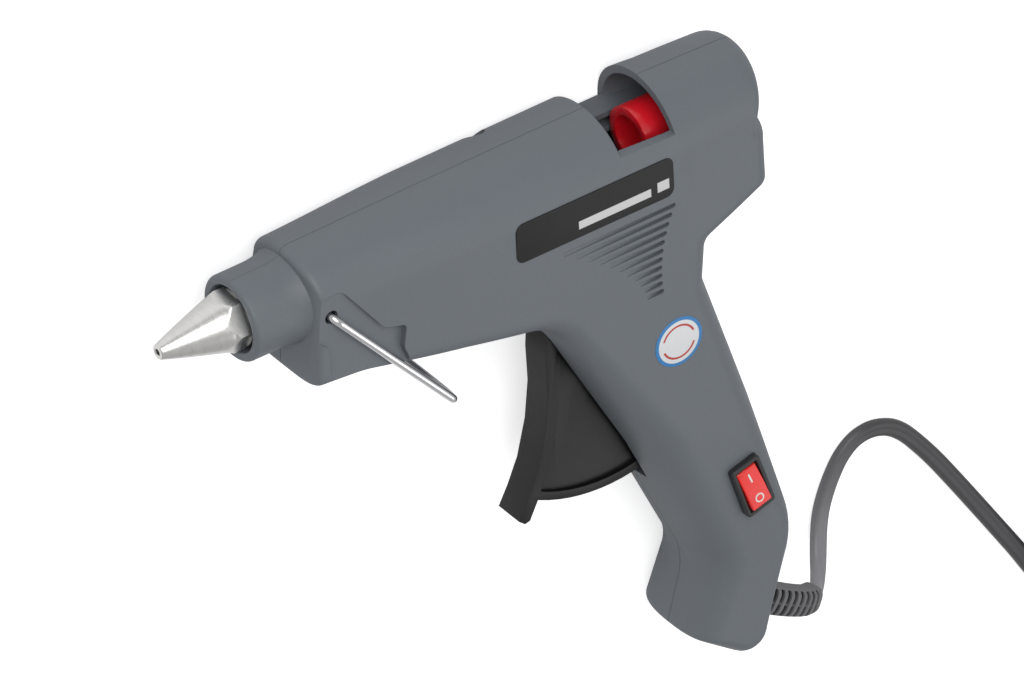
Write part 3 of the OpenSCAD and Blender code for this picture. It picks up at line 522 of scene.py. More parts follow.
def half_form(inset, low, steps, seam=0.0, spacing=3.0):
    """Closed solid of one half of the casing's form. Row by row it rises from the parting line to the
    side face along p = side + (rim - side) cos(t)^(2/power), z = height sin(t)^(2/power); the side
    face is a sheet at the half-thickness of each place. The base sits at the height low, and a
    seam draws the first row in."""
    casing = bpy.context.scene.glue_gun_casing
    rim, side, powers = casing_lines(8, spacing)
    rim = rim + unit(side - rim) * inset
    height = (half_thickness(side) - inset)[None, :, None]
    t = np.linspace(0, np.pi / 2, steps + 1)[:, None, None]
    power = (2 / (powers * casing.crown_fullness))[None, :, None]
    flat = side + (rim - side) * np.cos(t) ** power
    rows = np.concatenate([flat, height * np.sin(t) ** power], -1)
    rows[-1, :, :2] = side
    base = np.column_stack([rim + unit(side - rim) * seam, np.full(len(rim), low)])
    if seam:
        rows[0, :, 2] = low + seam
    rows = np.concatenate([base[None], rows])
    n = len(rim)
    points, faces = rows.reshape(-1, 3), grid_faces(len(rows), n)
    x, y = np.meshgrid(np.arange(12, 160, 2.6), np.arange(-172, 20, 2.6))
    lattice = np.stack([x + (np.arange(len(x)) % 2)[:, None] * 1.3, y], -1).reshape(-1, 2)
    lattice = lattice[inside(lattice, side)]
    apart = np.sqrt(((lattice[:, None] - side[None]) ** 2).sum(-1)).min(1)
    cap, cap_faces = triangulated(side, lattice[apart > 1.1])
    cap = np.column_stack([cap, half_thickness(cap) - inset])
    foot, foot_faces = triangulated(base[:, :2], np.zeros((0, 2)))
    foot = np.column_stack([foot, np.full(len(foot), low)])
    return joined([(points, faces), (cap, cap_faces), (foot, foot_faces)])


def bar(radius, low, high, count=48, place=(0, 0, 0), along=2):
    """Round bar between two places along Z, or along X where along is 0."""
    ring = circle(radius, count)
    rings = [flat_ring(ring, low), flat_ring(ring, high)]
    points, faces = loft(rings)
    if along == 0:
        points = points[:, [2, 0, 1]]
    return points + np.asarray(place, float), faces


def block(low, high):
    """Straight-sided block between two corners."""
    x0, y0, z0 = low
    x1, y1, z1 = high
    return prism(np.array([[x0, y0], [x1, y0], [x1, y1], [x0, y1]], float), z0, z1)


def in_handle(shape):
    """A shape made along X, turned and moved to where the cord leaves the handle."""
    c, s = math.cos(RELIEF_TURN), math.sin(RELIEF_TURN)
    turn = np.array([[c, s, 0], [-s, c, 0], [0, 0, 1]])
    return shape[0] @ turn + [RELIEF_EXIT[0], RELIEF_EXIT[1], 0], shape[1]


def at_switch(points):
    """Points in the switch's own place, turned with it."""
    tilt = bpy.context.scene.glue_gun_switch.tilt
    c, s = math.cos(tilt), math.sin(tilt)
    p = np.asarray(points, float)
    x = SWITCH_PLACE[0] + p[..., 0] * c - p[..., 1] * s
    y = SWITCH_PLACE[1] + p[..., 0] * s + p[..., 1] * c
    return np.stack([x, y, p[..., 2]], -1)


def neck_half():
    """Upper half of the collar and its flare: a profile turned half round the barrel's axis, where the
    flare is a quarter of an ellipse from the collar's radius out to the shoulder."""
    casing = bpy.context.scene.glue_gun_casing
    r, bore = casing.collar_radius / MM, casing.collar_bore / MM
    a = np.linspace(0, np.pi / 2, 7)
    lip = np.stack([1.1 - 1.1 * np.cos(a), r - 1.1 + 1.1 * np.sin(a)], -1)
    b = np.linspace(0, math.radians(84), 12)
    flare = np.stack([9.3 + 8.4 * np.sin(b), 14.5 - (14.5 - r) * np.cos(b)], -1)
    rim = np.stack([0.5 - 0.5 * np.sin(a), bore + 0.5 - 0.5 * np.cos(a)], -1)
    profile = np.vstack([rim, lip[lip[:, 1] > bore + 1.0], flare, [[18.6, 14.5], [18.6, bore]]])
    shape = turned(profile, 49, arc=np.pi)
    return shape[0][:, [0, 1, 2]], shape[1]


def vent_cutters():
    """Wedge for each vent groove: its floor slopes from the surface down to the deep end, which is
    half round."""
    casing = bpy.context.scene.glue_gun_casing
    half = casing.vent_width / MM / 2
    i = np.arange(11)
    start = 113.8 - 24.4 * ((10 - i) / 10) ** 1.6
    end = 117.9 + 5 * ((i - 8) / 8) ** 2
    y = -11.3 - casing.vent_pitch / MM * i
    a = np.linspace(-np.pi / 2, np.pi / 2, 9)
    shapes = []
    for s, e, v in zip(start, end, y):
        tail = s + (e - s) * np.array([0.0, 0.33, 0.66])
        outline = np.vstack([
            np.column_stack([tail, np.full(3, v - half)]),
            np.column_stack([e + half * np.cos(a), v + half * np.sin(a)]),
            np.column_stack([tail[::-1], np.full(3, v + half)])])
        share = np.clip((outline[:, 0] - s) / (e - s), 0, 1)
        floor = 17.5 - 0.12 - (casing.vent_depth / MM - 0.12) * share
        shapes.append(loft([np.column_stack([outline, floor]), flat_ring(outline, 19.0)]))
    return joined(shapes)


def half_object(name, side):
    """One finished half of the casing, on the side of the sign given."""
    scene = bpy.context.scene
    casing, switch = scene.glue_gun_casing, scene.glue_gun_switch
    wall, seam = casing.wall / MM, casing.seam_depth / MM
    face = mirrored if side < 0 else (lambda shape: shape)
    piece = new_object(name, face(half_form(0.0, 0.03, casing.crown_steps, seam)))
    carve(piece, [face(moved(neck_half(), (0, 0, 0.03)))], "UNION")
    front, rear = casing.window_front / MM, (casing.window_front + casing.window_length) / MM
    sill = casing.window_sill / MM if side > 0 else RIGHT_SILL
    hollow = face(half_form(wall, -1.0, 10, spacing=6.0))
    pocket = rounded(STAND_POCKET[:, :2], STAND_POCKET[:, 2], 8)
    cuts = [
        block([front, sill, -1], [rear, 30, 30]),
        prism(np.array(TRIGGER_SLOT, float), -1, 5.1),
        prism(pocket, 14.6, 24),
        vent_cutters(),
        bar(casing.collar_bore / MM, -1, 21.6, 72, along=0),
        bar(STICK_BORE + 1.6, HOOD_END - 8, HOOD_END + 8, 64, along=0),
        in_handle(bar(4.1, -24, 12, 48, along=0)),
    ]
    if side > 0:
        width, depth = switch.bezel_width / MM, switch.bezel_length / MM
        hole = rounded_rectangle(width - 1.2, depth - 1.6, 0.6)
        cuts.append((at_switch(prism(hole, 8, 24)[0]), prism(hole, 8, 24)[1]))
    carve(piece, [hollow])
    carve(piece, [face(joined(cuts))])
    holes = [bar(1.9, 9, 24, 40, (*STAND_PIVOT, 0))]
    if side < 0:
        holes += [bar(3.05, 8, 24, 40, (x, y, 0)) for x, y in SCREW_PLACES]
    carve(piece, [face(joined(holes))])
    extra = []
    walls = inner_walls(side)
    if side < 0:
        walls += [moved(turned([[7, 1.65], [7, 3.0], [17.2, 3.0], [17.2, 4.1], [5.6, 4.1],
                                [5.6, 1.65]], 40, along=2), (x, y, 0)) for x, y in SCREW_PLACES]
    for shape in walls:
        wall_piece = new_object("inner_wall", face(shape))
        carve(wall_piece, [face(half_form(1.2, -1.0, 8, spacing=6.0))], "INTERSECT")
        extra.append(wall_piece)
    merge_objects(piece, extra)
    smooth_below(piece, 32)
    return piece


def inner_walls(side):
    """Walls that cross the inside: the wall in front of the window with the carriage's bore, the two
    rails the carriage's fin runs between, and the hood's end wall."""
    casing = bpy.context.scene.glue_gun_casing
    front = casing.window_front / MM
    arc = np.linspace(0, np.pi, 33)

    def holed(x0, x1, low, high, reach, radius):
        """Slab across the barrel with a half-round notch about the axis."""
        hole = np.column_stack([radius * np.cos(arc), radius * np.sin(arc)])
        outline = np.vstack([[[high, 0.2], [high, reach], [low, reach], [low, 0.2]], hole[::-1]])
        rings = [np.column_stack([np.full(len(outline), x), outline]) for x in (x0, x1)]
        return loft(rings)

    walls = [holed(front - 3, front - 0.02, -9, 18, 17.5, 8.8),
             holed(HOOD_END - 8, HOOD_END - 1.5, -16, 18, 17.5, 7.7)]
    for sign in (-1, 1):
        low, high = sorted((sign * 1.5, sign * 3.1))
        walls.append(block([front - 3, low, 9], [HOOD_END - 6, high, 17.5]))
    return walls


# ---- Shader effects used by more than one material ----

def new_group(name, inputs, outputs):
    """Empty shader node group with named sockets."""
    group = bpy.data.node_groups.new(name, "ShaderNodeTree")
    for socket, kind, default in inputs:
        made = group.interface.new_socket(name=socket, in_out="INPUT", socket_type=kind)
        made.default_value = default
    for socket, kind in outputs:
        group.interface.new_socket(name=socket, in_out="OUTPUT", socket_type=kind)
    entry = group.nodes.new("NodeGroupInput")
    leave = group.nodes.new("NodeGroupOutput")
    return group, entry, leave


FLOAT, COLOUR, VECTOR = "NodeSocketFloat", "NodeSocketColor", "NodeSocketVector"


def maths(tree, operation, *values, clamp=False):
    """Math node; each value is a number or a socket."""
    node = tree.nodes.new("ShaderNodeMath")
    node.operation = operation
    node.use_clamp = clamp
    for socket, value in zip(node.inputs, values):
        if isinstance(value, (int, float)):
            socket.default_value = value
        else:
            tree.links.new(value, socket)
    return node.outputs[0]


def noise(tree, vector, scale, detail=3.0, roughness=0.5):
    """Noise texture's value."""
    node = tree.nodes.new("ShaderNodeTexNoise")
    node.inputs["Detail"].default_value = detail
    node.inputs["Roughness"].default_value = roughness
    tree.links.new(vector, node.inputs["Vector"])
    if isinstance(scale, (int, float)):
        node.inputs["Scale"].default_value = scale
    else:
        tree.links.new(scale, node.inputs["Scale"])
    return node.outputs["Fac"]


def between(tree, value, low, high, to_low=0.0, to_high=1.0):
    """Value taken from one range to another and held inside it."""
    node = tree.nodes.new("ShaderNodeMapRange")
    for socket, number in zip(node.inputs[1:5], (low, high, to_low, to_high)):
        if isinstance(number, (int, float)):
            socket.default_value = number
        else:
            tree.links.new(number, socket)
    tree.links.new(value, node.inputs[0])
    return node.outputs[0]


def mixed(tree, share, first, second):
    """Colour mix; each colour is a socket or a tuple."""
    node = tree.nodes.new("ShaderNodeMix")
    node.data_type = "RGBA"
    for socket, value in ((node.inputs[0], share), (node.inputs[6], first), (node.inputs[7], second)):
        if isinstance(value, (int, float)):
            socket.default_value = value
        elif isinstance(value, (tuple, list)):
            socket.default_value = (*value[:3], 1.0)
        else:
            tree.links.new(value, socket)
    return node.outputs[2]


def build_grain_group():
    """Moulded grain: a fine and a coarse noise make the height, slow cloudy noise varies the colour a
    little, and the height's hollows are rougher."""
    group, entry, leave = new_group(
        "Moulded Grain",
        [("Vector", VECTOR, (0, 0, 0)), ("Colour", COLOUR, (0.5, 0.5, 0.5, 1)),
         ("Grain Scale", FLOAT, 4000.0), ("Mottle", FLOAT, 0.06), ("Roughness", FLOAT, 0.5)],
        [("Colour", COLOUR), ("Roughness", FLOAT), ("Height", FLOAT)])
    place = entry.outputs["Vector"]
    fine = noise(group, place, entry.outputs["Grain Scale"], 2.0, 0.6)
    coarse = noise(group, place, maths(group, "MULTIPLY", entry.outputs["Grain Scale"], 0.27), 2.0)
    cloud = noise(group, place, 42.0, 4.0, 0.55)
    height = maths(group, "ADD", maths(group, "MULTIPLY", fine, 0.6), maths(group, "MULTIPLY", coarse, 0.4))
    shade = maths(group, "MULTIPLY_ADD", maths(group, "SUBTRACT", cloud, 0.5), entry.outputs["Mottle"], 1.0)
    speckle = maths(group, "MULTIPLY_ADD", maths(group, "SUBTRACT", height, 0.5), 0.16, shade)
    scale = group.nodes.new("ShaderNodeVectorMath")
    scale.operation = "SCALE"
    group.links.new(entry.outputs["Colour"], scale.inputs[0])
    group.links.new(speckle, scale.inputs["Scale"])
    group.links.new(scale.outputs[0], leave.inputs["Colour"])
    rough = maths(group, "MULTIPLY_ADD", maths(group, "SUBTRACT", cloud, 0.5), 0.14, entry.outputs["Roughness"])
    group.links.new(maths(group, "MULTIPLY_ADD", maths(group, "SUBTRACT", height, 0.5), -0.2, rough),
                    leave.inputs["Roughness"])
    group.links.new(height, leave.inputs["Height"])


def build_brush_group():
    """Brushed metal: noise stretched round the part's axis makes fine lines in the height, the
    roughness and, faintly, the colour."""
    group, entry, leave = new_group(
        "Brushed Metal",
        [("Vector", VECTOR, (0, 0, 0)), ("Colour", COLOUR, (0.8, 0.8, 0.8, 1)),
         ("Roughness", FLOAT, 0.3), ("Tarnish", FLOAT, 0.2)],
        [("Colour", COLOUR), ("Roughness", FLOAT), ("Height", FLOAT)])
    place = entry.outputs["Vector"]
    lines = noise(group, place, 1.0, 3.0, 0.65)
    cloud = noise(group, place, 0.08, 4.0, 0.6)
    tone = maths(group, "MULTIPLY_ADD", maths(group, "SUBTRACT", lines, 0.5), 0.22, 1.0)
    tone = maths(group, "MULTIPLY_ADD", maths(group, "SUBTRACT", cloud, 0.5), entry.outputs["Tarnish"], tone)
    scale = group.nodes.new("ShaderNodeVectorMath")
    scale.operation = "SCALE"
    group.links.new(entry.outputs["Colour"], scale.inputs[0])
    group.links.new(tone, scale.inputs["Scale"])
    group.links.new(scale.outputs[0], leave.inputs["Colour"])
    group.links.new(maths(group, "MULTIPLY_ADD", maths(group, "SUBTRACT", lines, 0.5), 0.35,
                          entry.outputs["Roughness"], clamp=True), leave.inputs["Roughness"])
    group.links.new(lines, leave.inputs["Height"])


def new_material(name, **values):
    """Material with one Principled shader; the values go on its own sockets."""
    material = bpy.data.materials.new(name)
    material.use_nodes = True
    tree = material.node_tree
    shader = next(n for n in tree.nodes if n.type == "BSDF_PRINCIPLED")
    for socket, value in values.items():
        shader.inputs[socket.replace("_", " ")].default_value = value
    return tree, shader


def object_place(tree, stretch=(1, 1, 1), centre=(0, 0, 0)):
    """Object coordinates through a Mapping node."""
    place = tree.nodes.new("ShaderNodeTexCoord")
    mapping = tree.nodes.new("ShaderNodeMapping")
    mapping.vector_type = "POINT"
    mapping.inputs["Scale"].default_value = stretch
    mapping.inputs["Location"].default_value = [-c * s for c, s in zip(centre, stretch)]
    tree.links.new(place.outputs["Object"], mapping.inputs["Vector"])
    return mapping.outputs["Vector"]


def bump_into(tree, shader, height, strength, distance, bevel=0.0):
    """Bump from a height; a bevel softens sharp edges by that radius, in millimetres."""
    bump = tree.nodes.new("ShaderNodeBump")
    bump.inputs["Strength"].default_value = strength
    bump.inputs["Distance"].default_value = distance * MM
    tree.links.new(height, bump.inputs["Height"])
    if bevel:
        soft = tree.nodes.new("ShaderNodeBevel")
        soft.samples = 6
        soft.inputs["Radius"].default_value = bevel * MM
        tree.links.new(soft.outputs["Normal"], bump.inputs["Normal"])
    tree.links.new(bump.outputs["Normal"], shader.inputs["Normal"])
    return bump


def plastic(name, base, roughness, scale=4000.0, mottle=0.06, strength=0.25, depth=0.03, bevel=0.0,
            **values):
    """Moulded plastic or rubber with the shared grain."""
    tree, shader = new_material(name, **values)
    grain = tree.nodes.new("ShaderNodeGroup")
    grain.node_tree = bpy.data.node_groups["Moulded Grain"]
    grain.inputs["Colour"].default_value = (*base[:3], 1.0)
    grain.inputs["Grain Scale"].default_value = scale
    grain.inputs["Mottle"].default_value = mottle
    grain.inputs["Roughness"].default_value = roughness
    tree.links.new(object_place(tree), grain.inputs["Vector"])
    tree.links.new(grain.outputs["Colour"], shader.inputs["Base Color"])
    tree.links.new(grain.outputs["Roughness"], shader.inputs["Roughness"])
    bump_into(tree, shader, grain.outputs["Height"], strength, depth, bevel)
    return tree, shader, grain


def metal(name, base, roughness, stretch, tarnish=0.15, strength=0.15, depth=0.02, **values):
    """Metal with the shared brushed lines; stretch is how many lines a metre along each axis."""
    tree, shader = new_material(name, Metallic=1.0, **values)
    brush = tree.nodes.new("ShaderNodeGroup")
    brush.node_tree = bpy.data.node_groups["Brushed Metal"]
    brush.inputs["Colour"].default_value = (*base[:3], 1.0)
    brush.inputs["Roughness"].default_value = roughness
    brush.inputs["Tarnish"].default_value = tarnish
    tree.links.new(object_place(tree, stretch), brush.inputs["Vector"])
    tree.links.new(brush.outputs["Colour"], shader.inputs["Base Color"])
    tree.links.new(brush.outputs["Roughness"], shader.inputs["Roughness"])
    bump_into(tree, shader, brush.outputs["Height"], strength, depth)
    return tree, shader, brush


def box_mask(tree, vector, low, high, soft):
    """1 inside the box from low to high in x and y, in millimetres, with a soft edge."""
    split = tree.nodes.new("ShaderNodeSeparateXYZ")
    tree.links.new(vector, split.inputs[0])
    parts = []
    for axis in (0, 1):
        value = split.outputs[axis]
        parts.append(between(tree, value, (low[axis] - soft) * MM, (low[axis] + soft) * MM))
        parts.append(between(tree, value, (high[axis] + soft) * MM, (high[axis] - soft) * MM))
    mask = parts[0]
    for part in parts[1:]:
        mask = maths(tree, "MULTIPLY", mask, part)
    return mask


def label_material(colours):
    """Black printed foil with a pale strip and a small pale box, both left blank."""
    tree, shader, grain = plastic("label foil", colours.label, 0.5, 6000.0, 0.1, 0.1, 0.01)
    place = object_place(tree)
    strip = box_mask(tree, place, (94.0, -5.4), (116.2, -3.0), 0.06)
    box = box_mask(tree, place, (118.2, -5.2), (121.8, -2.2), 0.06)
    print_mask = maths(tree, "MAXIMUM", strip, box)
    tone = mixed(tree, print_mask, grain.outputs["Colour"], srgb(214, 214, 214))
    tree.links.new(tone, shader.inputs["Base Color"])


def sticker_material():
    """White paper disc with a blue ring along its edge and two red arcs inside it."""
    tree, shader, grain = plastic("sticker paper", srgb(226, 228, 230), 0.42, 5000.0, 0.05, 0.1, 0.01)
    place = object_place(tree, centre=(122.5 * MM, -53.1 * MM, 17.6 * MM))
    split = tree.nodes.new("ShaderNodeSeparateXYZ")
    tree.links.new(place, split.inputs[0])
    flat = tree.nodes.new("ShaderNodeCombineXYZ")
    tree.links.new(split.outputs[0], flat.inputs[0])
    tree.links.new(split.outputs[1], flat.inputs[1])
    size = tree.nodes.new("ShaderNodeVectorMath")
    size.operation = "LENGTH"
    tree.links.new(flat.outputs[0], size.inputs[0])
    radius = size.outputs["Value"]

    def ring(low, high):
        """1 between two radii, in millimetres."""
        return maths(tree, "MULTIPLY", between(tree, radius, (low - 0.08) * MM, (low + 0.08) * MM),
                     between(tree, radius, (high + 0.08) * MM, (high - 0.08) * MM))

    away = between(tree, maths(tree, "ABSOLUTE", split.outputs[1]), 1.5 * MM, 1.7 * MM)
    red = maths(tree, "MULTIPLY", ring(4.5, 5.1), away)
    tone = mixed(tree, ring(6.2, 7.2), grain.outputs["Colour"], srgb(52, 128, 192))
    tree.links.new(mixed(tree, red, tone, srgb(190, 60, 50)), shader.inputs["Base Color"])


def relief_material(colours):
    """Grey rubber; the slots between the ribs are painted near-black as painted shade in their hollows, by the
    mesh's own slot attribute.
    """
    tree, shader, grain = plastic("relief rubber", colours.relief, 0.55, 5000.0, 0.06, 0.2, 0.02)
    mark = tree.nodes.new("ShaderNodeAttribute")
    mark.attribute_name = "slot_depth"
    # painted shade: the slots turn near-black by their depth, though the rubber itself is grey throughout
    tone = mixed(tree, mark.outputs["Fac"], grain.outputs["Colour"], srgb(8, 8, 9))
    tree.links.new(tone, shader.inputs["Base Color"])


def cord_material(colours):
    """Grey sheath with a painted highlight: pale grey at the strain relief, fading to its own grey over the
    first 50 mm as it bends down onto the floor, by the mesh's own distance attribute.
    """
    tree, shader, grain = plastic("cord sheath", colours.cord, 0.42, 5000.0, 0.1, 0.15, 0.02)
    mark = tree.nodes.new("ShaderNodeAttribute")
    mark.attribute_name = "along"
    share = between(tree, mark.outputs["Fac"], 0.0, 0.05)
    # painted highlight: pale grey at the start of the cord, the sheath's own grey from 50 mm on
    tone = mixed(tree, share, srgb(150, 150, 154), grain.outputs["Colour"])
    tree.links.new(tone, shader.inputs["Base Color"])


class MESH_OT_glue_gun_finishes(bpy.types.Operator):
    """Make every material of the glue gun and put them on the inner solids"""
    bl_idname = "mesh.glue_gun_finishes"
    bl_label = "Finishes"

    def execute(self, context):
        colours = context.scene.glue_gun_colours
        build_grain_group()
        build_brush_group()
        plastic("casing plastic", colours.casing, 0.5, 4200.0, 0.05, 0.3, 0.035, 0.3)
        plastic("trigger plastic", colours.trigger, 0.46, 5200.0, 0.08, 0.2, 0.02)
        plastic("bezel plastic", colours.bezel, 0.42, 5200.0, 0.06, 0.2, 0.02)
        plastic("rocker plastic", colours.rocker, 0.25, 2600.0, 0.04, 0.05, 0.01,
                Coat_Weight=0.3, Coat_Roughness=0.12)
        plastic("carriage plastic", colours.carriage, 0.22, 2600.0, 0.05, 0.05, 0.01,
                Coat_Weight=0.4, Coat_Roughness=0.1)
        plastic("mark paint", srgb(235, 232, 228), 0.4, 6000.0, 0.03, 0.1, 0.01)
        plastic("insulator card", srgb(214, 206, 188), 0.7, 1500.0, 0.15, 0.3, 0.05)
        plastic("silicone sleeve", srgb(196, 190, 172), 0.5, 3000.0, 0.08, 0.1, 0.02)
        plastic("lead sheath", srgb(50, 92, 170), 0.4, 5000.0, 0.08, 0.1, 0.01)
        plastic("plug rubber", colours.cord, 0.48, 4500.0, 0.08, 0.25, 0.03)
        plastic("tie plastic", srgb(24, 24, 26), 0.45, 4500.0, 0.08, 0.2, 0.02)
        plastic("heater ceramic", srgb(192, 172, 120), 0.6, 2500.0, 0.15, 0.2, 0.03)
        plastic("joint nylon", srgb(222, 220, 210), 0.4, 4500.0, 0.05, 0.1, 0.01)
        metal("nozzle metal", colours.aluminium, 0.32, (9000, 500, 500), 0.25, 0.2, 0.02)
        metal("cast metal", srgb(160, 160, 158), 0.48, (900, 900, 900), 0.3, 0.35, 0.06)
        metal("bright wire", colours.steel, 0.16, (1500, 1500, 1500), 0.1, 0.05, 0.01)
        metal("plated steel", srgb(188, 190, 192), 0.3, (2600, 2600, 400), 0.15, 0.1, 0.01)
        metal("brass", srgb(206, 172, 92), 0.28, (1800, 1800, 600), 0.2, 0.1, 0.01)
        label_material(colours)
        sticker_material()
        relief_material(colours)
        cord_material(colours)
        inner = {
            "case_screws": "plated steel", "melt_chamber": "cast metal",
            "ptc_heater": "heater ceramic", "heater_clip": "plated steel",
            "front_insulator": "insulator card", "rear_insulator": "insulator card",
            "stick_sleeve": "silicone sleeve", "sleeve_clamp": "plated steel",
            "rear_guide": "carriage plastic", "feed_carriage": "carriage plastic",
            "grip_lever": "plated steel", "grip_pin": "plated steel", "drive_pin": "plated steel",
            "trigger_pin": "plated steel", "switch_terminals": "brass",
            "cord_clamp": "tie plastic", "clamp_screws": "plated steel",
            "inner_cord": "plug rubber", "wire_joint": "joint nylon",
        }
        for node, material in inner.items():
            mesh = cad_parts[node].data
            mesh.materials.clear()
            mesh.materials.append(bpy.data.materials[material])
        return {"FINISHED"}


class MESH_OT_glue_gun_casing(bpy.types.Operator):
    """Build the two moulded halves of the casing"""
    bl_idname = "mesh.glue_gun_casing"
    bl_label = "Casing"

    def execute(self, context):
        left = half_object("casing_left", 1)
        finish_piece(left, "casing", "casing plastic", ["left_shell"])
        right = half_object("casing_right", -1)
        finish_piece(right, "casing", "casing plastic", ["right_shell"])
        return {"FINISHED"}


def nozzle_shape():
    """The nozzle as one turned surface whose radius at each angle is the lesser of the profile and the
    hexagon: apothem / cos(angle from the middle of the face). The chamfer's cone thus meets each
    flat of the base in an arc."""
    n = bpy.context.scene.glue_gun_nozzle
    tip, hole, base = n.tip_radius / MM, n.orifice_radius / MM, n.base_radius / MM
    front, back = -n.length / MM, -n.base_length / MM
    cone = np.linspace(0, 1, 14)
    cone_x = front + 0.7 + (back - 0.5 - front - 0.7) * cone
    cone_r = tip + (base - 0.9 - tip) * cone ** 0.94
    chamfer = np.linspace(0, 1, 9)
    rows = np.vstack([
        [[front + 5, hole], [front + 0.25, hole], [front, hole + 0.25], [front, tip - 0.7],
         [front + 0.12, tip - 0.3], [front + 0.36, tip - 0.08]],
        np.column_stack([cone_x, cone_r]),
        [[back - 0.12, base - 0.85]],
        np.column_stack([back + 1.5 * chamfer, base - 0.75 + 0.95 * chamfer]),
        [[back + 2.5, base + 2], [1.2, base + 2], [1.2, 3.98], [8.8, 3.98], [9.2, 3.6], [9.2, 2.0],
         [front + 7, 2.0]]])
    count = 96
    angle = np.arange(count) * 2 * np.pi / count
    apothem = base * math.cos(math.pi / 6)
    hexagon = apothem / np.cos((angle + np.pi / 6) % (np.pi / 3) - np.pi / 6)
    radius = np.minimum(rows[:, 1][None, :], hexagon[:, None])
    x = np.repeat(rows[None, :, 0], count, 0)
    points = np.stack([x, radius * np.cos(angle)[:, None], radius * np.sin(angle)[:, None]], -1)
    return points.reshape(-1, 3), grid_faces(count, len(rows), close_rows=True)


class MESH_OT_glue_gun_nozzle(bpy.types.Operator):
    """Build the turned nozzle with its hexagonal base"""
    bl_idname = "mesh.glue_gun_nozzle"
    bl_label = "Nozzle"

    def execute(self, context):
        piece = new_object("nozzle_tip", nozzle_shape(), 24)
        finish_piece(piece, "casing", "nozzle metal", ["nozzle"])
        return {"FINISHED"}


def stand_line():
    """Centre line of the bent wire in its own plane: pin, small bend, leg, small bend and half the bow,
    then the same mirrored. Returned in the frame's own axes."""
    s = bpy.context.scene.glue_gun_stand
    wire, leg, bow, bend = s.wire_radius / MM, s.leg_length / MM, s.bow_radius / MM, s.bend_radius / MM
    reach = 17.5 - wire - 0.3
    turn = math.acos((reach - bend) / (bow - bend))
    bow_x = leg + (bend - bow) * math.sin(turn)

    def arc(centre, radius, start, stop, count):
        a = np.linspace(start, stop, count)
        return np.column_stack([centre[0] + radius * np.cos(a), centre[1] + radius * np.sin(a)])

    side = np.vstack([
        [[0, 10.6], [0, reach - bend - 0.3]],
        arc((bend, reach - bend), bend, np.pi, np.pi / 2, 9),
        np.column_stack([np.linspace(bend, leg, 12)[1:-1], np.full(10, reach)]),
        arc((leg, reach - bend), bend, np.pi / 2, np.pi / 2 - turn, 9),
        arc((bow_x, 0), bow, np.pi / 2 - turn, 0, 14)[1:],
    ])
    line = np.vstack([side, side[-2::-1] * [1, -1]])
    return np.column_stack([
        STAND_PIVOT[0] + line[:, 0] * math.cos(s.lean),
        STAND_PIVOT[1] - line[:, 0] * math.sin(s.lean), line[:, 1]]), s.lean


class MESH_OT_glue_gun_stand(bpy.types.Operator):
    """Build the bent wire stand"""
    bl_idname = "mesh.glue_gun_stand"
    bl_label = "Stand"

    def execute(self, context):
        line, lean = stand_line()
        wire = context.scene.glue_gun_stand.wire_radius / MM
        normal = (math.sin(lean), math.cos(lean), 0.0)
        piece = new_object("stand_wire", swept(line, circle(wire, 20), normal), 50)
        finish_piece(piece, "stand", "bright wire", ["wire_stand"])
        return {"FINISHED"}


class MESH_OT_glue_gun_labels(bpy.types.Operator):
    """Build the long label and the round sticker"""
    bl_idname = "mesh.glue_gun_labels"
    bl_label = "Labels"

    def execute(self, context):
        plate = rounded_rectangle(48.4, 11.8, 2.4, 8) + [99.1, -1.95]
        piece = new_object("label_plate", slab(plate, 17.45, 17.7, 0.08))
        finish_piece(piece, "casing", "label foil", ["rating_label"])
        disc = circle(7.15, 72) + [122.5, -53.1]
        piece = new_object("sticker_disc", slab(disc, 17.45, 17.7, 0.08))
        finish_piece(piece, "casing", "sticker paper", ["round_sticker"])
        return {"FINISHED"}


def bezel_shape():
    """Switch frame: rounded rectangles at offsets and heights that run up the outer wall, round over
    the lip, down the opening and back under the flange."""
    s = bpy.context.scene.glue_gun_switch
    width, depth, height = s.bezel_width / MM, s.bezel_length / MM, s.bezel_height / MM
    low = 16.7
    high = low + height
    a = np.linspace(0, np.pi / 2, 5)
    outer = [(0.5 - 0.5 * math.cos(t), high - 0.5 + 0.5 * math.sin(t), 1.0) for t in a]
    inner = [(0.95 + 0.25 * math.sin(t), high - 0.25 + 0.25 * math.cos(t), 0.7) for t in a]
    steps = ([(0, low, 1.0)] + outer + inner
             + [(1.2, low - 3, 0.5), (1.6, low - 3, 0.4), (1.6, low - 11, 0.4), (0.8, low - 11, 0.5),
                (0.8, low, 0.5)])
    rings = np.array([
        flat_ring(rounded_rectangle(width - 2 * o, depth - 2 * o, max(r - o * 0.3, 0.25), 4), z)
        for o, z, r in steps])
    points = at_switch(rings)
    return points.reshape(-1, 3), grid_faces(*points.shape[:2], close_rows=True)


def rocker_shape():
    """Rocker: its side outline, with rounded corners, is carried across the width and drawn in at both
    edges by a quarter circle."""
    axis = 17.1
    corners = np.array([[-1.4, -2.2], [1.4, -2.2], [5.7, -0.6], [6.0, 1.1], [0, 2.5], [-6, 3.3],
                        [-5.9, 1.0]])
    outline = rounded(corners, [0.3, 0.3, 0.5, 0.5, 3.0, 0.5, 0.4], 5)
    edge, half = 0.35, 3.0
    a = np.linspace(0, np.pi / 2, 5)
    place = np.concatenate([-half + edge - edge * np.cos(a), half - edge + edge * np.sin(a)])
    inset = np.concatenate([edge - edge * np.sin(a), edge - edge * np.cos(a)])
    rings = []
    for x, d in zip(place, inset):
        line = shrunk(outline, d) if d > 1e-9 else outline
        rings.append(np.column_stack([np.full(len(line), x), line[:, 0], line[:, 1] + axis]))
    points, faces = loft(rings)
    return at_switch(points), faces


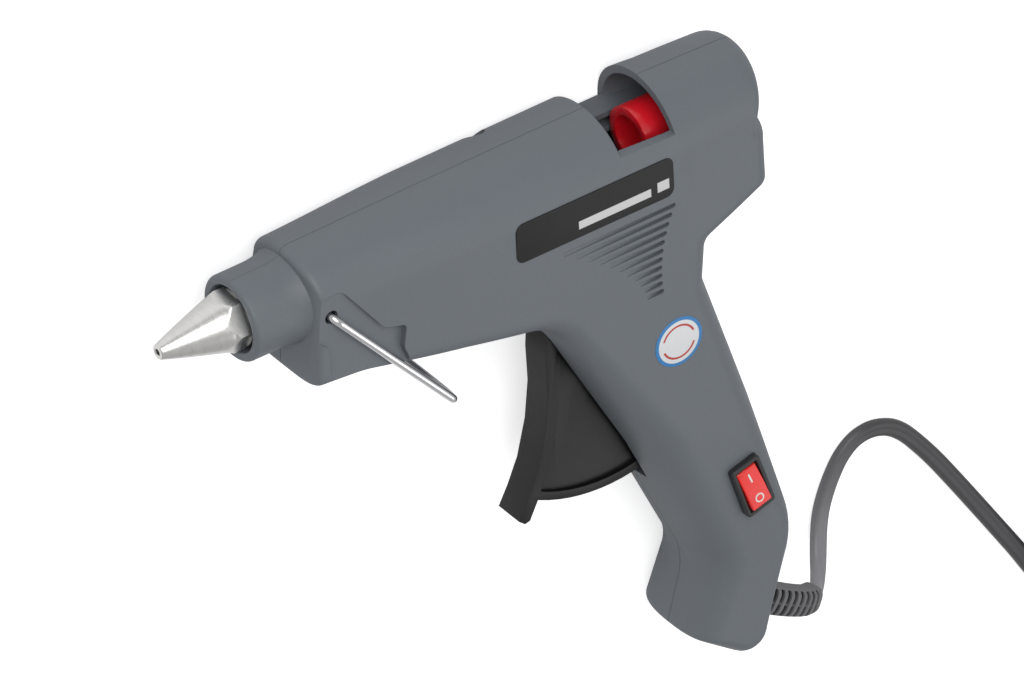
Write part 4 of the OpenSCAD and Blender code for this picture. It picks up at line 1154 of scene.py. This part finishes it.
def rocker_marks():
    """The line and the ring on the rocker's two faces, laid along each face's own slope."""
    axis = 17.1
    line_slope = math.atan2(1.1 - 2.5, 6.0)
    ring_slope = math.atan2(2.5 - 3.3, 6.0)

    def laid(shape, centre, slope):
        """Shape in a flat plane, tipped along the rocker and set on its face."""
        p = shape[0]
        y = centre + p[:, 1] * math.cos(slope) - p[:, 2] * math.sin(slope)
        face = axis + 2.5 + math.tan(slope) * centre
        z = face + p[:, 1] * math.sin(slope) + p[:, 2] * math.cos(slope)
        return at_switch(np.column_stack([p[:, 0], y, z])), shape[1]

    bar_line = slab(rounded_rectangle(0.5, 2.6, 0.2, 4), -0.08, 0.05, 0.04)
    a = np.linspace(0, 2 * np.pi, 10, endpoint=False)
    ring = turned(np.column_stack([0.05 * np.sin(a) - 0.01, 1.1 + 0.22 * np.cos(a)]), 40, along=2)
    return [laid(bar_line, 3.1, line_slope), laid(ring, -3.3, ring_slope)]


class MESH_OT_glue_gun_switch(bpy.types.Operator):
    """Build the switch frame and its marked rocker"""
    bl_idname = "mesh.glue_gun_switch"
    bl_label = "Switch"

    def execute(self, context):
        piece = new_object("switch_bezel", bezel_shape())
        finish_piece(piece, "casing", "bezel plastic", ["switch_body"])
        piece = new_object("switch_rocker", rocker_shape(), 40)
        finish_piece(piece, "rocker", "rocker plastic", ["rocker"])
        for name, shape in zip(("rocker_mark_on", "rocker_mark_off"), rocker_marks()):
            finish_piece(new_object(name, shape), "rocker", "mark paint")
        return {"FINISHED"}


class MESH_OT_glue_gun_trigger(bpy.types.Operator):
    """Build the trigger with rounded edges"""
    bl_idname = "mesh.glue_gun_trigger"
    bl_label = "Trigger"

    def execute(self, context):
        piece = edged_copy("trigger", "trigger_lever", 0.5, 25, 3)
        finish_piece(piece, "trigger", "trigger plastic", ["trigger"])
        return {"FINISHED"}


class MESH_OT_glue_gun_feed(bpy.types.Operator):
    """Build the feed carriage, the rear guide, the spring and the leads"""
    bl_idname = "mesh.glue_gun_feed"
    bl_label = "Feed and Leads"

    def execute(self, context):
        piece = edged_copy("feed_carriage", "feed_tube", 0.3, 30, 2)
        finish_piece(piece, "carriage", "carriage plastic", ["feed_carriage"])
        piece = edged_copy("rear_guide", "stick_guide", 0.3, 30, 2)
        finish_piece(piece, "casing", "carriage plastic", ["rear_guide"])
        piece = new_object("spring_coil", spring_shape(), 60)
        finish_piece(piece, "casing", "plated steel", ["return_spring"])
        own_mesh(piece)
        piece = new_object("lead_wires", lead_shapes(), 60)
        finish_piece(piece, "casing", "lead sheath", ["leads"])
        return {"FINISHED"}


def spring_shape():
    """Wire along x = start + pitch(turn), with closed end turns, at radius r about the spring's axis."""
    turns = np.linspace(0, 11, 11 * 18 + 1)
    low, high, wire = 114.4, 134.98, 0.35
    middle = np.clip((turns - 1) / 9, 0, 1)
    ends = np.clip(turns, 0, 1) + np.clip(turns - 10, 0, 1)
    x = low + wire + 2 * wire * ends + (high - low - 6 * wire) * middle
    a = 2 * np.pi * turns
    line = np.column_stack([x, -31.5 + 1.62 * np.cos(a), 1.62 * np.sin(a)])
    return swept(line, circle(wire, 8), (1, 0, 0))


LEAD_ROUTES = [
    [[134.48, -144.5, 1.1], [133.46, -143.86, 1.1], [134.7, -139.8, 2.8], [137.6, -129.6, 3.4],
     [138.6, -117, 3.6], [140.9, -111.6, 3.5]],
    [[134.48, -144.5, -1.1], [133.46, -143.86, -1.1], [134.7, -139.4, -3.2], [137.6, -128.5, -4.4],
     [135.4, -120, -6], [135, -106, -3],
     [135.4, -96, 4.5], [136.6, -90, 8.2], [137, -85.1, 9]],
    [[143.6, -102.2, 3.5], [141.4, -98, 5], [139.8, -91, 9.4], [139, -85.1, 9.6]],
    [[136, -70.9, 9], [136.6, -62, 9.4], [132.6, -45, 10], [124, -36, 10],
     [108, -27.5, 10], [90, -23, 9], [70, -18.4, 6.4], [58, -16.5, 3.6],
     [50, -15.4, 2.6], [47.5, -10.7, 2.4]],
    [[138.2, -70.9, 8.6], [137, -62, 6.4], [131.6, -43.5, 6.4], [124, -32.4, 7.4],
     [108, -24.9, 7.4], [90, -20.4, 5], [70, -17, -0.6], [58, -16.5, -2.8],
     [50, -15.4, -2.8], [47.5, -10.7, -2.4]],
]


def lead_shapes():
    """Round insulated wires along smooth routes."""
    return joined([swept(smooth_path(r, 6), circle(0.9, 12)) for r in LEAD_ROUTES])


# ---- Cord ----
RELIEF_ROUTE = [[154, -156.7, 0], [158.1, -159.3, 0], [162.2, -161.9, -0.1], [166.2, -164.4, -0.6],
                [170, -166.7, -1.6], [173.4, -168.2, -3.2]]
CORD_ROUTE = [
    [173.4, -168.2, -3.2], [176.6, -168.6, -5.4], [179.2, -167.6, -8.2], [181.4, -165.4, -10.9],
    [183.2, -162.2, -13.1], [184.8, -158.4, -14.8], [186.4, -154.2, -15.8], [188.1, -149.8, -16],
    [190.3, -145.2, -16], [193.4, -140.6, -16], [197.6, -137.4, -16], [202.6, -136.6, -16],
    [207.8, -138.2, -16], [212.2, -141.6, -16], [216.6, -147, -16], [221.8, -154.4, -16],
    [227.6, -163.6, -16], [233.6, -173.4, -16], [240, -184, -16], [246, -194, -16],
    [252, -204.4, -16]]
COIL_CENTRE = np.array([282, -187.2])
END_ROUTE = [[316.8, -178, -15.2], [316.8, -168, -13.2], [316.8, -158, -11.2], [316.8, -152, -10.65],
             [316.8, -148, -10.65]]


def coil_line():
    """Coil as one line: radius and height are smooth steps of the angle turned. It goes once round on
    the outside, moves in, rises a layer, moves out, rises, moves in, rises and leaves over the top."""
    c = bpy.context.scene.glue_gun_cord
    inner, outer, pitch = c.inner_turn / MM, c.outer_turn / MM, c.layer_pitch / MM
    angle = np.radians(np.arange(222, 2514.1, 15.0))
    a = np.degrees(angle)
    radius = (34.58 + (outer - 34.58) * smoothstep(212, 258, a)
              + (inner - outer) * smoothstep(562, 622, a)
              + (outer - inner) * smoothstep(1162, 1222, a)
              + (inner - outer) * smoothstep(1762, 1822, a)
              + (35.4 - inner) * smoothstep(2335, 2425, a)
              - 0.6 * smoothstep(2440, 2520, a))
    height = (-16 + pitch * smoothstep(862, 922, a) + pitch * smoothstep(1462, 1522, a)
              + pitch * smoothstep(2062, 2122, a) - 3 * pitch * smoothstep(2425, 2500, a))
    return np.column_stack([
        COIL_CENTRE[0] + radius * np.cos(angle), COIL_CENTRE[1] + radius * np.sin(angle), height])


def twin_section(width, thickness, count=20):
    """Two round cores side by side, as the distance from the middle at each angle f:
    a |cos f| + sqrt(r^2 - a^2 sin^2 f), where r is half the thickness and a half the cores' spacing."""
    r = thickness / 2
    a = width / 2 - r
    f = (np.arange(count) + 0.5) * 2 * np.pi / count
    reach = a * np.abs(np.cos(f)) + np.sqrt(r * r - (a * np.sin(f)) ** 2)
    return np.column_stack([reach * np.cos(f), reach * np.sin(f)])


def relief_object():
    """Strain relief: a rounded bar along its route, drawn in by the slots. A slot is deep where both
    the place along the bar and the angle round it fall inside its band; the depth is kept as an
    attribute, which the material uses to paint shade into the slots."""
    path = smooth_path(RELIEF_ROUTE, 40)
    share = np.linspace(0, 1, len(path))
    _, across, rise = path_frames(path)
    count = 128
    f = np.arange(count) * 2 * np.pi / count
    power = 2 / 3.4
    half_width = 4.15 - 0.55 * share
    half_height = 3.95 - 0.75 * share
    end = np.clip(1 - ((share - 0.985) / 0.015).clip(0) ** 2 * 0.25, 0, 1)
    c = np.sign(np.cos(f)) * np.abs(np.cos(f)) ** power
    s = np.sign(np.sin(f)) * np.abs(np.sin(f)) ** power
    x = (half_width * end)[:, None] * c
    y = (half_height * end)[:, None] * s
    pitch = 2.35
    along = share * path_length(path)
    phase = np.abs((along - 2.2) / pitch % 1 - 0.5) * pitch
    slots = smoothstep(0.66, 0.5, phase) * ((along > 2.0) & (along < 2.0 + pitch * 8 + 0.6))
    rib = smoothstep(0.3, 0.6, np.abs(x)) * smoothstep(3.7, 3.3, np.abs(x))
    depth = slots[:, None] * rib * (np.abs(s)[None] > 0.6)
    x, y = x, y * (1 - 0.3 * depth)
    rings = path[:, None] + x[..., None] * across[:, None] + y[..., None] * rise[:, None]
    piece = new_object("cord_relief", loft(rings), 45)
    mark = piece.data.attributes.new("slot_depth", "FLOAT", "POINT")
    if len(piece.data.vertices) != depth.size:
        raise RuntimeError("the relief's points were merged")
    mark.data.foreach_set("value", depth.ravel().astype(np.float32))
    return piece


class MESH_OT_glue_gun_cord(bpy.types.Operator):
    """Build the strain relief, the mains cord with its coil, the tie and the plug"""
    bl_idname = "mesh.glue_gun_cord"
    bl_label = "Cord"

    def execute(self, context):
        relief = relief_object()
        finish_piece(relief, "casing", "relief rubber", ["strain_relief"])
        c = context.scene.glue_gun_cord
        line = np.vstack([CORD_ROUTE, coil_line(), END_ROUTE])
        path = smooth_path(line, 4)
        section = twin_section(c.width / MM, c.thickness / MM)
        cord = new_object("mains_cord", swept(path, section), 60)
        # distance along the cord, which the material uses for the painted highlight near the relief
        marks = np.repeat(np.concatenate([[0], np.cumsum(np.linalg.norm(np.diff(path, axis=0), axis=1))]),
                          len(section)) * MM
        attribute = cord.data.attributes.new("along", "FLOAT", "POINT")
        attribute.data.foreach_set("value", marks.astype(np.float32))
        finish_piece(cord, "casing", "cord sheath", ["cord", "cord_coil", "cord_end"])
        tie = edged_copy("cord_tie", "coil_tie", 0.25)
        finish_piece(tie, "casing", "tie plastic", ["cord_tie"])
        plug = edged_copy("plug", "mains_plug", 1.0, 25, 3)
        finish_piece(plug, "casing", "plug rubber", ["plug"])
        prongs = edged_copy("plug_pins", "plug_prongs", 0.6, 30, 3)
        finish_piece(prongs, "casing", "plated steel", ["plug_pins"])
        return {"FINISHED"}


class MESH_OT_glue_gun_stage(bpy.types.Operator):
    """Set the floor, the soft light and the camera"""
    bl_idname = "mesh.glue_gun_stage"
    bl_label = "Stage"

    def execute(self, context):
        scene = context.scene
        scene.view_settings.view_transform = "Standard"
        world = bpy.data.worlds.new("Studio")
        scene.world = world
        world.use_nodes = True
        tree = world.node_tree
        background = tree.nodes["Background"]
        ray = tree.nodes.new("ShaderNodeLightPath")
        seen = maths(tree, "MAXIMUM", ray.outputs["Is Camera Ray"], ray.outputs["Is Transmission Ray"])
        level = between(tree, seen, 0.0, 1.0, 0.4, 1.0)
        background.inputs["Color"].default_value = (1.0, 1.0, 1.0, 1.0)
        tree.links.new(level, background.inputs["Strength"])

        size = 1.5
        floor = bpy.data.meshes.new("floor")
        floor.from_pydata([(-size, -size, -0.0175), (size, -size, -0.0175), (size, size, -0.0175),
                           (-size, size, -0.0175)], [], [(0, 1, 2, 3)])
        ground = bpy.data.objects.new("floor", floor)
        scene.collection.objects.link(ground)
        tree, shader = new_material("floor paint", Roughness=0.85)
        base = (*scene.glue_gun_colours.floor, 1.0)
        shader.inputs["Base Color"].default_value = base
        shader.inputs["Emission Color"].default_value = (1, 1, 1, 1)
        ray = tree.nodes.new("ShaderNodeLightPath")
        lift = maths(tree, "MULTIPLY", ray.outputs["Is Camera Ray"], 0.62)
        tree.links.new(lift, shader.inputs["Emission Strength"])
        ground.data.materials.append(bpy.data.materials["floor paint"])

        for name, place, aim, energy, width in (
                ("key light", (-0.35, 0.9, 1.1), (0.07, -0.03, 0), 11.5, 1.0),
                ("fill light", (0.9, -0.5, 1.2), (0.1, -0.06, 0), 4.5, 1.2)):
            lamp = bpy.data.lights.new(name, "AREA")
            lamp.energy = energy
            lamp.shape = "SQUARE"
            lamp.size = width
            holder = bpy.data.objects.new(name, lamp)
            holder.location = place
            holder.rotation_euler = (Vector(aim) - Vector(place)).to_track_quat("-Z", "Y").to_euler()
            scene.collection.objects.link(holder)

        right = Vector((0.8136, -0.0398, 0.5864)).normalized()
        up = Vector((0.3742, 0.8075, -0.4584))
        back = right.cross(up).normalized()
        up = back.cross(right).normalized()
        distance = 12.0
        aim = 0.070 * right - 0.005125 * up
        aim += back * (Vector((0.09, -0.06, 0.0)) - aim).dot(back)
        camera = bpy.data.cameras.new("camera")
        camera.sensor_width = 36.0
        camera.lens = 36.0 * distance / 0.256
        camera.clip_start, camera.clip_end = 1.0, 30.0
        holder = bpy.data.objects.new("camera", camera)
        turn = Matrix((right, up, back)).transposed().to_4x4()
        holder.matrix_world = Matrix.Translation(aim + back * distance) @ turn
        scene.collection.objects.link(holder)
        scene.camera = holder
        return {"FINISHED"}


class VIEW3D_PT_glue_gun(bpy.types.Panel):
    """Lists the steps that build the glue gun, and their sizes"""
    bl_label = "Glue Gun"
    bl_space_type = "VIEW_3D"
    bl_region_type = "UI"
    bl_category = "Glue Gun"

    def draw(self, context):
        layout = self.layout
        for step in STEPS:
            layout.operator(step.bl_idname)
        for name in SETTINGS:
            box = layout.box()
            group = getattr(context.scene, name)
            for key in group.bl_rna.properties.keys():
                if key not in ("rna_type", "name"):
                    box.prop(group, key)


SETTINGS = {
    "glue_gun_casing": CasingSettings,
    "glue_gun_nozzle": NozzleSettings,
    "glue_gun_stand": StandSettings,
    "glue_gun_switch": SwitchSettings,
    "glue_gun_cord": CordSettings,
    "glue_gun_colours": ColourSettings,
}
STEPS = (
    MESH_OT_glue_gun_stage,
    MESH_OT_glue_gun_finishes,
    MESH_OT_glue_gun_cord,
    MESH_OT_glue_gun_casing,
    MESH_OT_glue_gun_nozzle,
    MESH_OT_glue_gun_stand,
    MESH_OT_glue_gun_labels,
    MESH_OT_glue_gun_switch,
    MESH_OT_glue_gun_trigger,
    MESH_OT_glue_gun_feed,
)


def register():
    for group in SETTINGS.values():
        bpy.utils.register_class(group)
    for name, group in SETTINGS.items():
        setattr(bpy.types.Scene, name, PointerProperty(type=group))
    for step in (*STEPS, VIEW3D_PT_glue_gun):
        bpy.utils.register_class(step)


def unregister():
    for step in (VIEW3D_PT_glue_gun, *reversed(STEPS)):
        bpy.utils.unregister_class(step)
    for name in SETTINGS:
        delattr(bpy.types.Scene, name)
    for group in reversed(SETTINGS.values()):
        bpy.utils.unregister_class(group)


def main():
    register()
    bpy.ops.mesh.glue_gun_stage()
    bpy.ops.mesh.glue_gun_finishes()
    bpy.ops.mesh.glue_gun_cord()
    bpy.ops.mesh.glue_gun_casing()
    bpy.ops.mesh.glue_gun_nozzle()
    bpy.ops.mesh.glue_gun_stand()
    bpy.ops.mesh.glue_gun_labels()
    bpy.ops.mesh.glue_gun_switch()
    bpy.ops.mesh.glue_gun_trigger()
    bpy.ops.mesh.glue_gun_feed()


if __name__ == "__main__":
    main()
